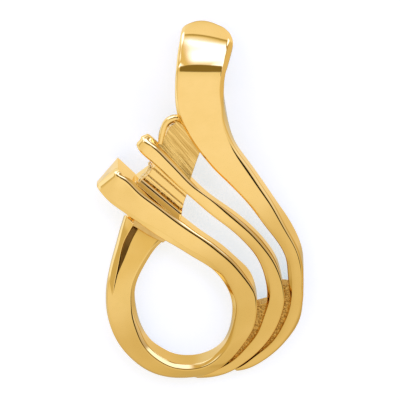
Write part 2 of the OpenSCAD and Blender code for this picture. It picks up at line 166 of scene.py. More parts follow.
# Loop ribbon, from its square head round the big opening and back under itself, with the same columns
LOOP_ROWS: Table = [
    [[96.7, 186.7, 1.5], [98, 184.2, 1.7], [114.2, 170.8, 2.93], [117.8, 157.6, 0.1], 0.1],
    [[100, 191.6, 1.7], [102.2, 188.8, 1.95], [117, 176.7, 3.2], [122.4, 161.8, 0.1], 0.1],
    [[106, 198.8, 1.75], [108, 196.3, 2], [122, 178.7, 3.17], [129.7, 168.6, 0.1], 0.1],
    [[118.3, 208.8, 1.75], [120.3, 206, 2], [133.5, 189, 3.08], [141, 179.6, 0.3], 0.3],
    [[131, 217.8, 1.7], [133.2, 215, 1.98], [146.5, 200.2, 2.94], [152, 192, 0.7], 0.45],
    [[146, 228.3, 1.65], [148.5, 224.5, 1.94], [160.3, 210.4, 2.76], [165.5, 204, 0.9], 0.6],
    [[161, 238.4, 1.6], [163.2, 232.7, 1.9], [174.4, 221.4, 2.57], [180, 214.3, 0.85], 0.7],
    [[176.5, 247.2, 1.55], [179, 243, 1.86], [190, 232.4, 2.4], [195.6, 226.3, 0.8], 0.75],
    [[193.3, 257.6, 1.5], [196, 253, 1.82], [206.6, 243.5, 2.25], [213, 238.4, 0.7], 0.65],
    [[208.8, 267, 1.45], [212.5, 263.4, 1.78], [221.4, 254.8, 2.13], [228, 249.8, 0.6], 0.55],
    [[220.4, 278, 1.42], [225.2, 277.6, 1.75], [235, 266.8, 2.03], [241.8, 262.4, 0.45], 0.4],
    [[228, 290, 1.4], [232.2, 289.4, 1.75], [247, 281.4, 1.96], [252.6, 276.6, 0.4], 0.3],
    [[231.6, 300.5, 1.3], [236.4, 300, 1.8], [255, 295, 1.93], [257.2, 295, 0.5], 0.15],
    [[232.5, 312.5, 1.1], [237.9, 312.5, 1.86], [256.3, 312, 1.88], [257.2, 312, 1.4], 0.05],
    [[231, 325, 0.7], [236, 325.8, 1.93], [253.2, 328, 1.82], [254.2, 328.6, 1.35], 0],
    [[226.3, 337.2, 0.3], [232.4, 339.6, 2], [245.2, 342, 1.74], [246, 342.7, 1.3], 0],
    [[218.5, 346.3, 0.1], [225.2, 352, 2.08], [234, 356.5, 1.62], [234.8, 357.3, 1.2], 0],
    [[209, 352, 0.1], [213.8, 363.4, 2.16], [219.6, 369, 1.48], [220, 369.9, 1.1], 0],
    [[198.3, 355.4, 0.1], [200.3, 369.6, 2.2], [203.2, 376, 1.34], [203.5, 376.9, 1], 0],
    [[187.4, 356.4, 0.1], [187.4, 371.2, 2.2], [187.4, 378.2, 1.3], [187.4, 379.2, 0.95], 0],
    [[174, 354.7, 0.1], [172.2, 369, 2.19], [170, 377.5, 1.33], [169.7, 378.8, 0.98], 0],
    [[160.5, 348.2, 0.1], [155.6, 360.2, 2.14], [149.5, 371.3, 1.4], [148.7, 372.6, 1.05], 0],
    [[149.3, 339.7, 0.2], [142.3, 346.3, 2.05], [131.5, 357.8, 1.46], [130.2, 359.2, 1.1], 0],
    [[141, 327, 0.4], [135.6, 331, 1.95], [118.7, 341, 1.5], [116.7, 342.3, 1.15], 0],
    [[136.7, 314, 0.6], [131.6, 315.5, 1.86], [110, 319.5, 1.5], [107.8, 320, 1], 0],
    [[134.4, 299, 0.8], [130.6, 300, 1.79], [107.4, 301.5, 1.45], [105.3, 301.5, 0.6], 0],
    [[135.7, 285, 1], [131.8, 285.3, 1.7], [108, 285.5, 1.3], [106, 285.5, 0.3], 0],
    [[141.2, 271.3, 1.05], [137.4, 271, 1.64], [111, 269.5, 1.12], [108.8, 269, 0.1], 0],
    [[149.8, 256.5, 1], [146.5, 255.5, 1.56], [115.3, 252.5, 0.95], [113.2, 252, 0.1], 0],
    [[158.8, 245, 0.9], [156, 243.5, 1.5], [119.8, 236, 0.78], [117.8, 235.5, 0.1], 0],
    [[168, 237, 0.8], [165.5, 234.5, 1.44], [125, 222, 0.62], [122.6, 221, 0.1], 0],
    [[173, 230, 0.7], [171, 227, 1.4], [132, 213, 0.5], [130, 212, 0.3], 0.05],
]

# Rim that stands along the outside of the loop's left arm, with the same columns
RIM_ROWS: Table = [
    [[123.6, 216, 0.1], [126.4, 216.4, 1.3], [133.6, 223.6, 1.62], [138, 226, 0.8], 0.3],
    [[119.5, 229.5, 0.1], [122, 230, 1.3], [127.4, 234.4, 1.64], [132, 236.4, 0.8], 0.3],
    [[115.7, 243, 0.1], [118.2, 243.6, 1.28], [122.6, 244.5, 1.62], [127.2, 245.6, 0.8], 0.3],
    [[111, 260, 0.1], [113.5, 260.5, 1.26], [118.6, 262, 1.6], [122.6, 262.6, 0.9], 0.3],
    [[107, 278, 0.3], [109.6, 278, 1.26], [115.2, 278.5, 1.56], [118.2, 278.8, 1], 0.3],
    [[105.3, 297, 0.6], [107.6, 297, 1.26], [112.4, 297, 1.52], [114.4, 297, 1.1], 0.3],
    [[106.2, 311, 0.9], [108, 311, 1.28], [112, 311, 1.44], [113.2, 311, 1.2], 0.3],
]

# Lower seat: its lines from the loop ribbon to the middle ribbon, each with its left and its right end
SEAT_LINES: Table = [
    [[131, 181, 1.8], [176, 221, 1.7]],
    [[134.8, 182.7, 2.75], [179.5, 221.2, 2.35]],
    [[138.8, 180.2, 2.42], [181.6, 215.6, 1.96]],
    [[139.9, 179.3, 2.41], [181.6, 213.8, 1.95]],
    [[141.4, 177.8, 2.31], [181.7, 211.4, 1.85]],
    [[141.4, 176.4, 1.9], [181.7, 210, 1.45]],
    [[144.5, 174.4, 1.9], [182.8, 206.5, 1.45]],
    [[144.5, 176.1, 2.4], [182.8, 208.2, 1.98]],
    [[146.8, 174.6, 2.44], [183.3, 205.4, 2.03]],
    [[147.2, 174.1, 2.35], [183.4, 204.8, 1.94]],
    [[147.8, 173.5, 2.45], [183.6, 204.1, 2.04]],
    [[153, 168.6, 2.55], [185.4, 197.2, 2.25]],
    [[153.5, 168, 2.43], [185.6, 196.6, 2.13]],
    [[154.2, 167.3, 2.55], [186, 195.8, 2.25]],
    [[158, 164, 2.55], [188, 191, 2.3]],
]

# Rough floor of the slot in the lower seat, darkened with painted shade, as two sides
SLOT_SIDES: Table = [
    [[141.2, 176.2, 1.98], [155, 187.7, 1.83], [169, 199.3, 1.68], [181.5, 209.8, 1.52]],
    [[144.7, 174.2, 1.98], [157, 184.5, 1.83], [170, 195.4, 1.68], [182.6, 206.2, 1.52]],
]

# Rough nubs at the left end of the lower seat, with the columns of a bead
NUBS: Table = [
    [138.6, 181.6, 2.5, 0.14, 0.2],
    [141.8, 177.6, 2.46, 0.17, 0.24],
    [145.6, 174.6, 2.5, 0.19, 0.24],
    [149, 170.6, 2.6, 0.19, 0.24],
    [150.6, 166, 2.6, 0.17, 0.22],
    [149, 162.5, 2.5, 0.12, 0.2],
]

# Ledge of the loop's left arm under its head, with the columns of the ribbons
LEDGE_ROWS: Table = [
    [[130.5, 225.6, 1.3], [131.3, 224.8, 1.5], [136, 217, 1.62], [137, 216, 1.5], 0.3],
    [[136, 228.6, 1.3], [137, 227.7, 1.52], [141, 220.5, 1.64], [142, 219.5, 1.5], 0.3],
    [[147, 235.4, 1.3], [148, 234.5, 1.54], [152, 227.5, 1.66], [153, 226.5, 1.5], 0.3],
    [[156, 240, 1.3], [157, 239.2, 1.54], [161.5, 233, 1.66], [162.5, 232, 1.5], 0.3],
    [[163, 243, 1.3], [164, 242.2, 1.54], [170, 237, 1.66], [171, 236, 1.5], 0.3],
]

# Lip round the left end of the upper seat: [across, down, height, half width, half height]
UPPER_LIP: Table = [
    [160.5, 144, 2.75, 0.16, 0.2],
    [161.6, 138, 2.85, 0.2, 0.26],
    [163, 131, 2.92, 0.24, 0.3],
    [165, 125, 2.98, 0.25, 0.32],
    [168, 121, 3.02, 0.25, 0.32],
    [172, 118.8, 3.05, 0.24, 0.3],
    [176.5, 117.6, 3.06, 0.22, 0.28],
    [181, 118, 3, 0.18, 0.22],
]

# Rough spots inside that lip, with the columns of a bead
LIP_NUBS: Table = [
    [165.5, 136, 2.86, 0.08, 0.12],
    [167, 130.5, 2.9, 0.13, 0.2],
    [169.5, 126.4, 2.93, 0.15, 0.22],
    [172.5, 124.2, 2.95, 0.13, 0.2],
    [175.5, 123.6, 2.95, 0.08, 0.12],
]

# Groove between the rim and the face of the loop's left arm, as a dark strip of painted shade, with the
# columns of the ribbons
GROOVE_ROWS: Table = [
    [[133, 226.5, 1.3], [133.6, 227.4, 1.42], [136, 229.4, 1.36], [137, 230, 1.2], 0.8],
    [[126.8, 234.8, 1.3], [127.4, 235.4, 1.42], [131.6, 237.6, 1.3], [132.4, 238, 1.2], 0.8],
    [[122.4, 244.8, 1.25], [123, 245.2, 1.4], [128, 247, 1.24], [129, 247.4, 1.1], 0.8],
    [[119.6, 257, 1.2], [120.2, 257.4, 1.4], [124.2, 258.4, 1.22], [125.2, 258.8, 1.1], 0.8],
    [[117, 270, 1.2], [117.5, 270.2, 1.38], [120.2, 270.6, 1.24], [121, 270.8, 1.1], 0.8],
    [[114.4, 284, 1.2], [114.8, 284, 1.36], [116.4, 284.2, 1.26], [117, 284.3, 1.1], 0.8],
    [[112.4, 300, 1.2], [112.7, 300, 1.34], [113.5, 300, 1.3], [114, 300, 1.15], 0.8],
]

# Bail, from the foot of the strap at the back over the top to the front of the outer ribbon
# Each row: y and z of the outer face, tilt of the face in degrees, x of the left and of the right edge, crown
# across, how much further down the right edge lies than the left, and how much further up the middle lies
BAIL_ROWS: Table = [
    [8.6, 0, 180, -1.18, 1.72, 0, 0, 0],
    [10.4, 0, 180, -1.18, 1.72, 0, 0, 0],
    [12, 0, 180, -1.18, 1.72, 0, 0, 0],
    [13.6, 0, 180, -1.12, 1.68, 0, 0, 0],
    [14.85, 0.02, 176, -1.0, 1.62, 0.06, 0.03, 0],
    [15.25, 0.12, 145, -0.92, 1.68, 0.22, 0.14, 0.02],
    [15.46, 0.5, 108, -1.14, 2.0, 0.28, 0.16, 0.04],
    [15.5, 1.05, 88, -1.38, 2.3, 0.24, 0.24, 0.05],
    [15.3, 1.8, 70, -1.55, 2.52, 0.15, 0.34, 0.04],
    [15.02, 2.4, 58, -1.63, 2.66, 0.09, 0.4, 0.03],
    [14.6, 2.93, 45, -1.7, 2.68, 0.07, 0.34, 0.02],
    [13.8, 3.54, 38, -1.87, 2.5, 0.08, 0.16, 0.02],
    [13.22, 3.95, 34, -1.95, 2.34, 0.09, 0.08, 0.03],
    [12.74, 4.25, 30, -2.01, 2.2, 0.09, 0.04, 0.05],
    [12.32, 4.38, 17, -2.04, 2.11, 0.08, 0.03, 0.05],
    [11.8, 4.41, 3, -2.07, 2.03, 0.08, 0.03, 0.05],
    [11.2, 4.35, -3, -2.1, 1.97, 0.07, 0, 0.02],
    [10.5, 4.26, -5, -2.11, 1.94, 0.07, 0, 0],
]

# Upper seat, as its low and its high side
UPPER_SEAT_SIDES: Table = [
    [
        [161.5, 131, 2.85], [158.5, 141, 2.8], [160, 154, 2.75],
        [170, 168, 2.72], [180, 176.5, 2.68], [189.5, 182, 2.6],
    ],
    [
        [166, 126, 2.95], [175, 121, 2.95], [184.5, 127, 2.9],
        [191, 134.5, 2.85], [196, 142, 2.8], [200.7, 149.8, 2.76],
    ],
]

# Webs between the ribbons at the lower right, each as its left and its right side
INNER_WEB_SIDES: Table = [
    [[254, 306, 1.4], [254.5, 320, 1.36], [251, 331, 1.32], [243, 346, 1.24], [228, 364, 1.05]],
    [[272, 301.4, 1.4], [271, 310, 1.36], [265, 321, 1.32], [259.5, 335, 1.24], [236, 366, 1.05]],
]
OUTER_WEB_SIDES: Table = [
    [
        [280, 284.4, 1.45], [284, 301, 1.4], [281, 315, 1.34],
        [274, 332, 1.28], [262, 347.5, 1.2], [234, 370, 0.9],
    ],
    [
        [295, 285.8, 1.45], [295, 297, 1.4], [291, 313, 1.34],
        [283, 330, 1.28], [271, 346, 1.2], [240, 370, 0.9],
    ],
]


# Surfaces, all worked out in millimetres

# Weight of a smooth curve's two end values against the others
END_WEIGHT = 100
# Share of a side that the rounds at its two ends may take together
SIDE_SHARE = 0.96
# Least squared cosine of half a turn, which keeps a round on a corner that folds back
LEAST_TURN = 0.04
# Ring of points inside an end: its distance from the outline, and at most this share of the way to the middle
END_RING = (0.03, 0.3)
# Sections in the round over an end of a ribbon
END_SECTIONS = 13
# Length that each row of a ribbon counts for on top of its distance from the last
ROW_LENGTH = 0.15
# Share of the way to an edge that a bevel may take, and how far it may go beyond that
BEVEL_SHARE, BEVEL_EXCESS = 0.9, 0.02
# How far an edge stays under its bevel's foot, and the edge's back under the edge
UNDER_FOOT, UNDER_EDGE = 0.05, 0.06
# Reach of the rounds at a ribbon's edges and at their backs
EDGE_REACH, BACK_REACH = 0.1, 0.06


def unit(vectors: Array) -> Array:
    """Vectors along the last axis at length one."""
    return vectors / np.maximum(np.linalg.norm(vectors, axis=-1, keepdims=True), 1e-9)


def table_part(rows: Table, column: int) -> Array:
    """One column of a table as an array."""
    return np.array([row[column] for row in rows], float)


def distances(points: Array, extra: float = 0.0) -> Array:
    """Distance of every point from the first along their line, with something extra for each step."""
    steps = np.linalg.norm(np.diff(points, axis=0), axis=1) + extra
    return np.concatenate([[0], np.cumsum(steps)])


def beside(line: Array) -> Array:
    """Level unit vectors square to a line: [y, -x, 0] of its level direction [x, y, 0]."""
    along = unit(np.gradient(line, axis=0) * [1, 1, 0])
    return np.stack([along[:, 1], -along[:, 0], np.zeros(len(along))], axis=1)


def tilted(degrees: Array) -> Array:
    """Straight up when it is turned by an angle a toward +y: [0, sin a, cos a]."""
    a = np.radians(degrees)
    return np.stack([np.zeros_like(a), np.sin(a), np.cos(a)], axis=1)


def basis(at: Array, pieces: int) -> Array:
    """Weights of a cubic B-spline's control values.

    At a fraction f of a piece the four weights are (1-f)^3, 3f^3-6f^2+4, -3f^3+3f^2+3f+1 and f^3, each over
    six.

    Args:
        at: Places from 0 to 1.
        pieces: Pieces of the spline.

    Returns:
        One row for each place, one column for each of the pieces + 3 control values.
    """
    where = np.clip(np.asarray(at, float), 0, 1) * pieces
    index = np.minimum(where.astype(int), pieces - 1)
    f = where - index
    weights = np.stack([(1 - f) ** 3, 3 * f**3 - 6 * f**2 + 4, -3 * f**3 + 3 * f**2 + 3 * f + 1, f**3], 1) / 6
    out = np.zeros((len(where), pieces + 3))
    np.put_along_axis(out, index[:, None] + np.arange(4), weights, axis=1)
    return out


def faired(values: Array, at: Array, places: Array, pull: float, pieces: int) -> Array:
    """Smooth curve that passes close to a list of values.

    It is the cubic B-spline that makes the sum of squared misses plus pull times the squared third
    differences of its control values least. The two end values count END_WEIGHT times.

    Args:
        values: One row for each place.
        at: Places of the values, from 0 to 1.
        places: Where the curve is wanted, from 0 to 1.
        pull: Weight of smoothness.
        pieces: Pieces of the spline.

    Returns:
        One row for each wanted place.
    """
    near = basis(at, pieces)
    weight = np.ones(len(at))
    weight[[0, -1]] = END_WEIGHT
    third = np.diff(np.eye(pieces + 3), n=3, axis=0)
    normal = near.T @ (near * weight[:, None]) + pull * third.T @ third
    control = np.linalg.solve(normal + 1e-9 * np.eye(pieces + 3), near.T @ (values * weight[:, None]))
    return basis(places, pieces) @ control


def rounded(corners: Array, reach: Array, steps: Sequence[int]) -> Array:
    """Closed sections with a round at every corner.

    Each round runs from a point before the corner to a point after it, reach away along the two sides where
    they have room, as a conic whose middle weight is the cosine of half the turn, which is a circle's arc.

    Args:
        corners: Sections x corners x 3.
        reach: Sections x corners.
        steps: Points in the round of each corner.

    Returns:
        Sections x points x 3.
    """
    before = np.roll(corners, 1, axis=1) - corners
    after = np.roll(corners, -1, axis=1) - corners
    length = np.linalg.norm(after, axis=2)
    room = np.minimum(SIDE_SHARE * length / np.maximum(reach + np.roll(reach, -1, axis=1), 1e-6), 1)
    start = corners + unit(before) * (reach * np.roll(room, 1, axis=1))[..., None]
    end = corners + unit(after) * (reach * room)[..., None]
    turn = np.sum(-unit(before) * unit(after), axis=2)
    weight = np.sqrt(np.clip((1 + turn) / 2, LEAST_TURN, 1))
    parts = []
    for k, count in enumerate(steps):
        t = np.linspace(0, 1, count)[None, :, None]
        shares = (1 - t) ** 2, 2 * weight[:, k, None, None] * t * (1 - t), t**2
        points = start[:, k, None], corners[:, k, None], end[:, k, None]
        parts.append(sum(share * point for share, point in zip(shares, points)) / sum(shares))
    return np.concatenate(parts, axis=1)


def bevel_foot(top: Array, edge: Array, width: Array, slope: Array) -> Array:
    """Foot of a bevel that falls from a top line toward an edge.

    It lies square to the top line, by the bevel's width toward the edge and lower by the width times the
    tangent of the slope.

    Args:
        top: Points of the top line.
        edge: Points of the edge.
        width: Width of the bevel at each.
        slope: Its slope in degrees at each.

    Returns:
        Points of the foot.
    """
    square = beside(top)
    side = np.sum(square * (edge - top), axis=1)
    width = np.minimum(width, np.abs(side) * BEVEL_SHARE + BEVEL_EXCESS)
    drop = width * np.tan(np.radians(slope))
    return top + square * (np.sign(side) * width)[:, None] - UP * drop[:, None]


class Shell:
    """Turns grids of points into closed meshes of the casting."""

    @staticmethod
    def tube(grid: Array) -> tuple[Array, Array, Array]:
        """Corners of the faces of a grid of closed sections, with a fan of triangles at both ends.

        Args:
            grid: Sections x points x 3.

        Returns:
            Points, quads and triangles.
        """
        ends = grid[[0, -1]]
        inward = ends.mean(axis=1, keepdims=True) - ends
        depth = np.minimum(END_RING[0], np.linalg.norm(inward, axis=2)[..., None] * END_RING[1])
        inner = ends + unit(inward) * depth
        grid = np.concatenate([inner[:1], grid, inner[1:]])
        rows, points = grid.shape[:2]
        r, c = np.meshgrid(np.arange(rows - 1), np.arange(points), indexing="ij")
        n = (c + 1) % points
        quads = np.stack([r * points + c, r * points + n, (r + 1) * points + n, (r + 1) * points + c], -1)
        c = np.arange(points)
        n = (c + 1) % points
        last = (rows - 1) * points
        hub = rows * points
        start = np.stack([n, c, np.full(points, hub)], 1)
        end = np.stack([last + c, last + n, np.full(points, hub + 1)], 1)
        verts = np.concatenate([grid.reshape(-1, 3), grid[[0, -1]].mean(axis=1)])
        return verts, quads.reshape(-1, 4), np.concatenate([start, end])

    @staticmethod
    def volume(verts: Array, quads: Array, tris: Array) -> float:
        """Volume inside closed faces: a sixth of the sum of a . (b x c) over their triangles.

        Args:
            verts: Points.
            quads: Corners of the faces with four.
            tris: Corners of the faces with three.

        Returns:
            The volume, negative where the faces point inwards.
        """
        faces = np.concatenate([quads[:, [0, 1, 2]], quads[:, [0, 2, 3]], tris])
        a, b, c = verts[faces[:, 0]], verts[faces[:, 1]], verts[faces[:, 2]]
        return float(np.sum(a * np.cross(b, c)) / 6)

    @classmethod
    def build(
        cls, name: str, made: tuple[Array, Array, Array], finish: bpy.types.Material
    ) -> bpy.types.Object:
        """Puts points into a mesh in metres, outwards and smooth, and makes it part of the casting.

        Args:
            name: Name of the piece.
            made: Points, quads and triangles.
            finish: Material of the piece.

        Returns:
            The new piece.
        """
        verts, quads, tris = made
        if cls.volume(verts, quads, tris) < 0:
            quads, tris = quads[:, ::-1], tris[:, ::-1]
        mesh = bpy.data.meshes.new(name)
        place = verts * (DRAWING.size * MM)
        mesh.vertices.add(len(place))
        mesh.vertices.foreach_set("co", place.astype(np.float32).ravel())
        corners = np.concatenate([quads.ravel(), tris.ravel()]).astype(np.int32)
        sizes = np.concatenate([np.full(len(quads), 4), np.full(len(tris), 3)]).astype(np.int32)
        mesh.loops.add(len(corners))
        mesh.loops.foreach_set("vertex_index", corners)
        mesh.polygons.add(len(sizes))
        starts = np.concatenate([[0], np.cumsum(sizes)[:-1]]).astype(np.int32)
        mesh.polygons.foreach_set("loop_start", starts)
        mesh.polygons.foreach_set("use_smooth", np.ones(len(sizes), bool))
        mesh.update(calc_edges=True)
        mesh.validate()
        mesh.materials.append(finish)
        piece = bpy.data.objects.new(name, mesh)
        bpy.context.scene.collection.objects.link(piece)
        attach(piece, "root")
        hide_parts(CASTING)
        return piece


# Shader maths and the golds

Number = Union[float, "Signal"]


@dataclass(frozen=True)
class Signal:
    """A socket that carries numbers, so that shader maths can be written as an expression.

    Attributes:
        bench: Where its nodes go.
        socket: The output that it stands for.
    """

    bench: "Bench"
    socket: bpy.types.NodeSocket

    def _with(self, operation: str, first: Number, second: Number = 0.0) -> "Signal":
        """Math node on one or two numbers or signals."""
        return self.bench.node("ShaderNodeMath", {"operation": operation}, {0: first, 1: second})

    def __add__(self, other: Number) -> "Signal":
        """Sum."""
        return self._with("ADD", self, other)

    def __radd__(self, other: Number) -> "Signal":
        """Sum, from the right."""
        return self._with("ADD", other, self)

    def __sub__(self, other: Number) -> "Signal":
        """Difference."""
        return self._with("SUBTRACT", self, other)

    def __rsub__(self, other: Number) -> "Signal":
        """Difference, from the right."""
        return self._with("SUBTRACT", other, self)

    def __mul__(self, other: Number) -> "Signal":
        """Product."""
        return self._with("MULTIPLY", self, other)

    def __rmul__(self, other: Number) -> "Signal":
        """Product, from the right."""
        return self._with("MULTIPLY", other, self)

    def __truediv__(self, other: Number) -> "Signal":
        """Quotient."""
        return self._with("DIVIDE", self, other)

    def __pow__(self, other: Number) -> "Signal":
        """Power."""
        return self._with("POWER", self, other)

    def __abs__(self) -> "Signal":
        """Size without its sign."""
        return self._with("ABSOLUTE", self)

    def between(self, zero: float, one: float) -> "Signal":
        """Soft step.

        Args:
            zero: Where it is 0.
            one: Where it is 1, above or below the first.

        Returns:
            3t^2 - 2t^3, with t rising evenly from 0 to 1 between the two.
        """
        if zero > one:
            return 1 - self.between(one, zero)
        return self.bench.node(
            "ShaderNodeMapRange",
            {"interpolation_type": "SMOOTHSTEP", "clamp": True},
            {"Value": self, "From Min": zero, "From Max": one, "To Min": 0.0, "To Max": 1.0},
        )

    def angle(self, other: "Signal") -> "Signal":
        """Angle whose tangent is this over the other, in degrees."""
        return self._with("ARCTAN2", self, other) * math.degrees(1)

    def arc(self) -> "Signal":
        """Angle whose cosine this is, in degrees."""
        return self._with("ARCCOSINE", self) * math.degrees(1)


def colour(value: Any) -> Any:
    """A colour with its alpha, or the signal as it is."""
    # Both empty seats, with the upper one's lip, the lower one's slot, whose rough floor is darkened with
    # painted shade, and the rough spots of both.
    return value if isinstance(value, Signal) else (*value, 1.0)


@dataclass
class Bench:
    """The one way to add a node to a material or a world.

    Attributes:
        tree: Its node tree.
    """

    tree: bpy.types.NodeTree

    def node(self, kind: str, settings: dict[str, Any], sockets: dict[Any, Any], out: Any = 0) -> Signal:
        """Adds a node.

        Args:
            kind: Type of the node.
            settings: Its settings, set first; "stops" are a colour ramp's [place, colour] pairs.
            sockets: Values or signals of its inputs, by name or number.
            out: Output that is wanted, by name or number.

        Returns:
            The wanted output.
        """
        made = self.tree.nodes.new(kind)
        for key, value in settings.items():
            if key == "stops":
                self._stops(made.color_ramp.elements, value)
            else:
                setattr(made, key, value)
        for key, value in sockets.items():
            if isinstance(value, Signal):
                self.tree.links.new(value.socket, made.inputs[key])
            else:
                made.inputs[key].default_value = value
        return Signal(self, made.outputs[out])

    @staticmethod
    def _stops(elements: Any, stops: Sequence[tuple[float, Tone]]) -> None:
        """Fills a colour ramp.

        Args:
            elements: The ramp's stops.
            stops: Their new places and colours, in order.
        """
        while len(elements) > 1:
            elements.remove(elements[-1])
        for n, (place, tone) in enumerate(stops):
            stop = elements.new(place) if n else elements[0]
            stop.position, stop.color = place, colour(tone)

    def axes(self, vector: Signal) -> tuple[Signal, ...]:
        """The x, y and z of a vector."""
        split = self.node("ShaderNodeSeparateXYZ", {}, {0: vector})
        return tuple(Signal(self, part) for part in split.socket.node.outputs)

    def end(self, kind: str, shader: Signal) -> None:
        """Adds the output and links a shader to it."""
        made = self.tree.nodes.new(kind)
        self.tree.links.new(shader.socket, made.inputs["Surface"])

    def mix(self, factor: Number, first: Any, second: Any) -> Signal:
        """Colour between two colours.

        Args:
            factor: 0 at the first, 1 at the second.
            first: A colour or a signal.
            second: A colour or a signal.

        Returns:
            The mixed colour.
        """
        return self.node(
            "ShaderNodeMix",
            {"data_type": "RGBA", "clamp_factor": True},
            {0: factor, 6: colour(first), 7: colour(second)},
            out=2,
        )


class Touch(Enum):
    """How the goldsmith left a surface, with the cells of its grain in a metre along x, y and z."""

    POLISHED = (900, 900, 900)
    BRUSHED = (400, 9000, 900)
    AS_CAST = (5200, 5200, 5200)


@dataclass(frozen=True)
class GoldFinish:
    """Yellow gold with one touch.

    Attributes:
        touch: How the surface was left.
        colour: Reflected colour of the metal.
        shade: Reflected colour in its hollows.
        sheen: Roughness at its smoothest and at its roughest.
        grain: Bump height of the grain in metres.
        turn: Direction of the grain in degrees from the x axis.
        depth: Factor of painted shade on the colour toward the foot at the lower right, where the gold looks
            deeper because the tent gives it less light.
        toward: Direction of that foot, in x and y.
        reach: Where the painted shade starts and where it is full, in metres along that direction.
        edge: Tint of the metal at grazing angles.
    """

    touch: Touch
    colour: Tone = (0.995, 0.767, 0.338)
    shade: Tone = (0.965, 0.73, 0.30)
    sheen: tuple[float, float] = (0.045, 0.085)
    grain: float = 0.000002
    turn: float = 0.0
    depth: Tone = (0.8, 0.745, 0.59)
    toward: tuple[float, float] = (0.62, -0.78)
    reach: tuple[float, float] = (0.0012, 0.0062)
    edge: tuple[float, float, float, float] = (1.0, 0.93, 0.75, 1.0)

    def material(self, name: str) -> bpy.types.Material:
        """The finish as a material with nodes.

        Args:
            name: Name of the material.

        Returns:
            The new material.
        """
        made = bpy.data.materials.new(name)
        made.use_nodes = True
        made.node_tree.nodes.clear()
        bench = Bench(made.node_tree)
        place = bench.node("ShaderNodeTexCoord", {}, {}, out="Object")
        fine, height = self._grain(bench, place)
        tone = bench.mix(fine, self.shade, self.colour)
        x, y, _ = bench.axes(place)
        # Painted shade: the colour darkens toward the foot at the lower right, where the tent gives less
        # light.
        foot_shade = (x * self.toward[0] + y * self.toward[1]).between(*self.reach)
        shaded_tone = bench.node("ShaderNodeVectorMath", {"operation": "MULTIPLY"}, {0: tone, 1: self.depth})
        tone = bench.mix(foot_shade, tone, shaded_tone)
        smooth, rough = self.sheen
        bump = {"Strength": 1.0, "Distance": self.grain, "Height": height}
        metal = {
            "Base Color": tone,
            "Metallic": 1.0,
            "Roughness": fine * (smooth - rough) + rough,
            "Normal": bench.node("ShaderNodeBump", {}, bump, out="Normal"),
            "Specular Tint": self.edge,
        }
        bench.end("ShaderNodeOutputMaterial", bench.node("ShaderNodeBsdfPrincipled", {}, metal))
        return made

    def _grain(self, bench: Bench, place: Signal) -> tuple[Signal, Signal]:
        """Pattern of the grain.

        Args:
            bench: Where the nodes go.
            place: Object coordinates.

        Returns:
            Pattern from 0 in the hollows to 1, and the height of the bump.
        """
        turned = bench.node(
            "ShaderNodeMapping",
            {"vector_type": "TEXTURE"},
            {"Vector": place, "Rotation": (0, 0, math.radians(self.turn))},
        )
        laid = bench.node("ShaderNodeVectorMath", {"operation": "MULTIPLY"}, {0: turned, 1: self.touch.value})
        cells = {"Vector": laid, "Scale": 1.0, "Detail": 5.0, "Roughness": 0.6}
        noise = bench.node("ShaderNodeTexNoise", {}, cells)
        fine = noise.between(0.3, 0.7)
        if self.touch is Touch.AS_CAST:
            pits = bench.node("ShaderNodeTexVoronoi", {}, {"Vector": laid, "Scale": 0.9}, out="Distance")
            return fine, noise + pits * 0.8
        if self.touch is Touch.POLISHED:
            haze = bench.node("ShaderNodeTexNoise", {}, {"Vector": place, "Scale": 320.0, "Detail": 2.0})
            fine = fine * 0.5 + haze.between(0.35, 0.65) * 0.5
        return fine, noise


class Finish(Enum):
    """Golds that the pieces are finished in."""

    POLISHED = GoldFinish(Touch.POLISHED)
    BRUSHED = GoldFinish(Touch.BRUSHED, (1.0, 0.76, 0.32), (0.66, 0.44, 0.13), (0.12, 0.3), 0.00002, -51.0)
    AS_CAST = GoldFinish(Touch.AS_CAST, (0.97, 0.7, 0.28), (0.6, 0.36, 0.1), (0.16, 0.4), 0.00006)
    # Painted shade: near-black gold for the groove beside the rim, standing for the shade and dark
    # reflections there.
    DULL = GoldFinish(Touch.POLISHED, (0.26, 0.15, 0.045), (0.12, 0.065, 0.015), (0.2, 0.35), 0.000004)
    # Rough cast gold whose near-black mottling is painted shade for the floor of the slot.
    ROUGH = GoldFinish(Touch.AS_CAST, (0.98, 0.84, 0.55), (0.1, 0.06, 0.02), (0.1, 0.25), 0.00016)
    PALE = GoldFinish(Touch.AS_CAST, (1.0, 0.86, 0.56), (0.8, 0.6, 0.28), (0.08, 0.2), 0.00004)
    # Painted shade: a darker copy of the polished gold for the ledge under the head, which gets less light
    # there.
    DEEP = GoldFinish(Touch.POLISHED, (0.82, 0.6, 0.25), (0.62, 0.42, 0.15), (0.08, 0.16), 0.000003)


# Pieces of the casting


@dataclass
class Piece:
    """A piece of the casting.

    Attributes:
        name: Its name.
    """

    name: str

    def grid(self) -> Array:
        """Its surface, as sections x points x 3."""
        raise NotImplementedError

    def make(self, finish: bpy.types.Material) -> bpy.types.Object:
        """Builds it in a finish."""
        return Shell.build(self.name, Shell.tube(self.grid()), finish)


@dataclass(frozen=True)
class Edge:
    """How a ribbon's edges are worked at one place along it, in millimetres and degrees.

    Attributes:
        row: Place, counted in rows of the ribbon's table.
        bevel: Width of the bevel beyond the ridge.
        slope: Its slope.
        low_bevel: Width of the bevel beyond the crease.
        low_slope: Its slope.
        ridge: Reach of the round at the ridge.
        crease: Reach of the round at the crease.
        belly: Place of the face's middle corner, from the crease at 0 to the ridge at 1.
        swell: How far that corner stands over the straight face.
        bend: Reach of its round, as a share of the face's width.
        foot: Reach of the rounds at the feet of both bevels.
    """

    row: float
    bevel: float = 0.16
    slope: float = 40.0
    low_bevel: float = 0.03
    low_slope: float = 40.0
    ridge: float = 0.2
    crease: float = 0.2
    belly: float = 0.5
    swell: float = 0.05
    bend: float = 0.4
    foot: float = 0.06


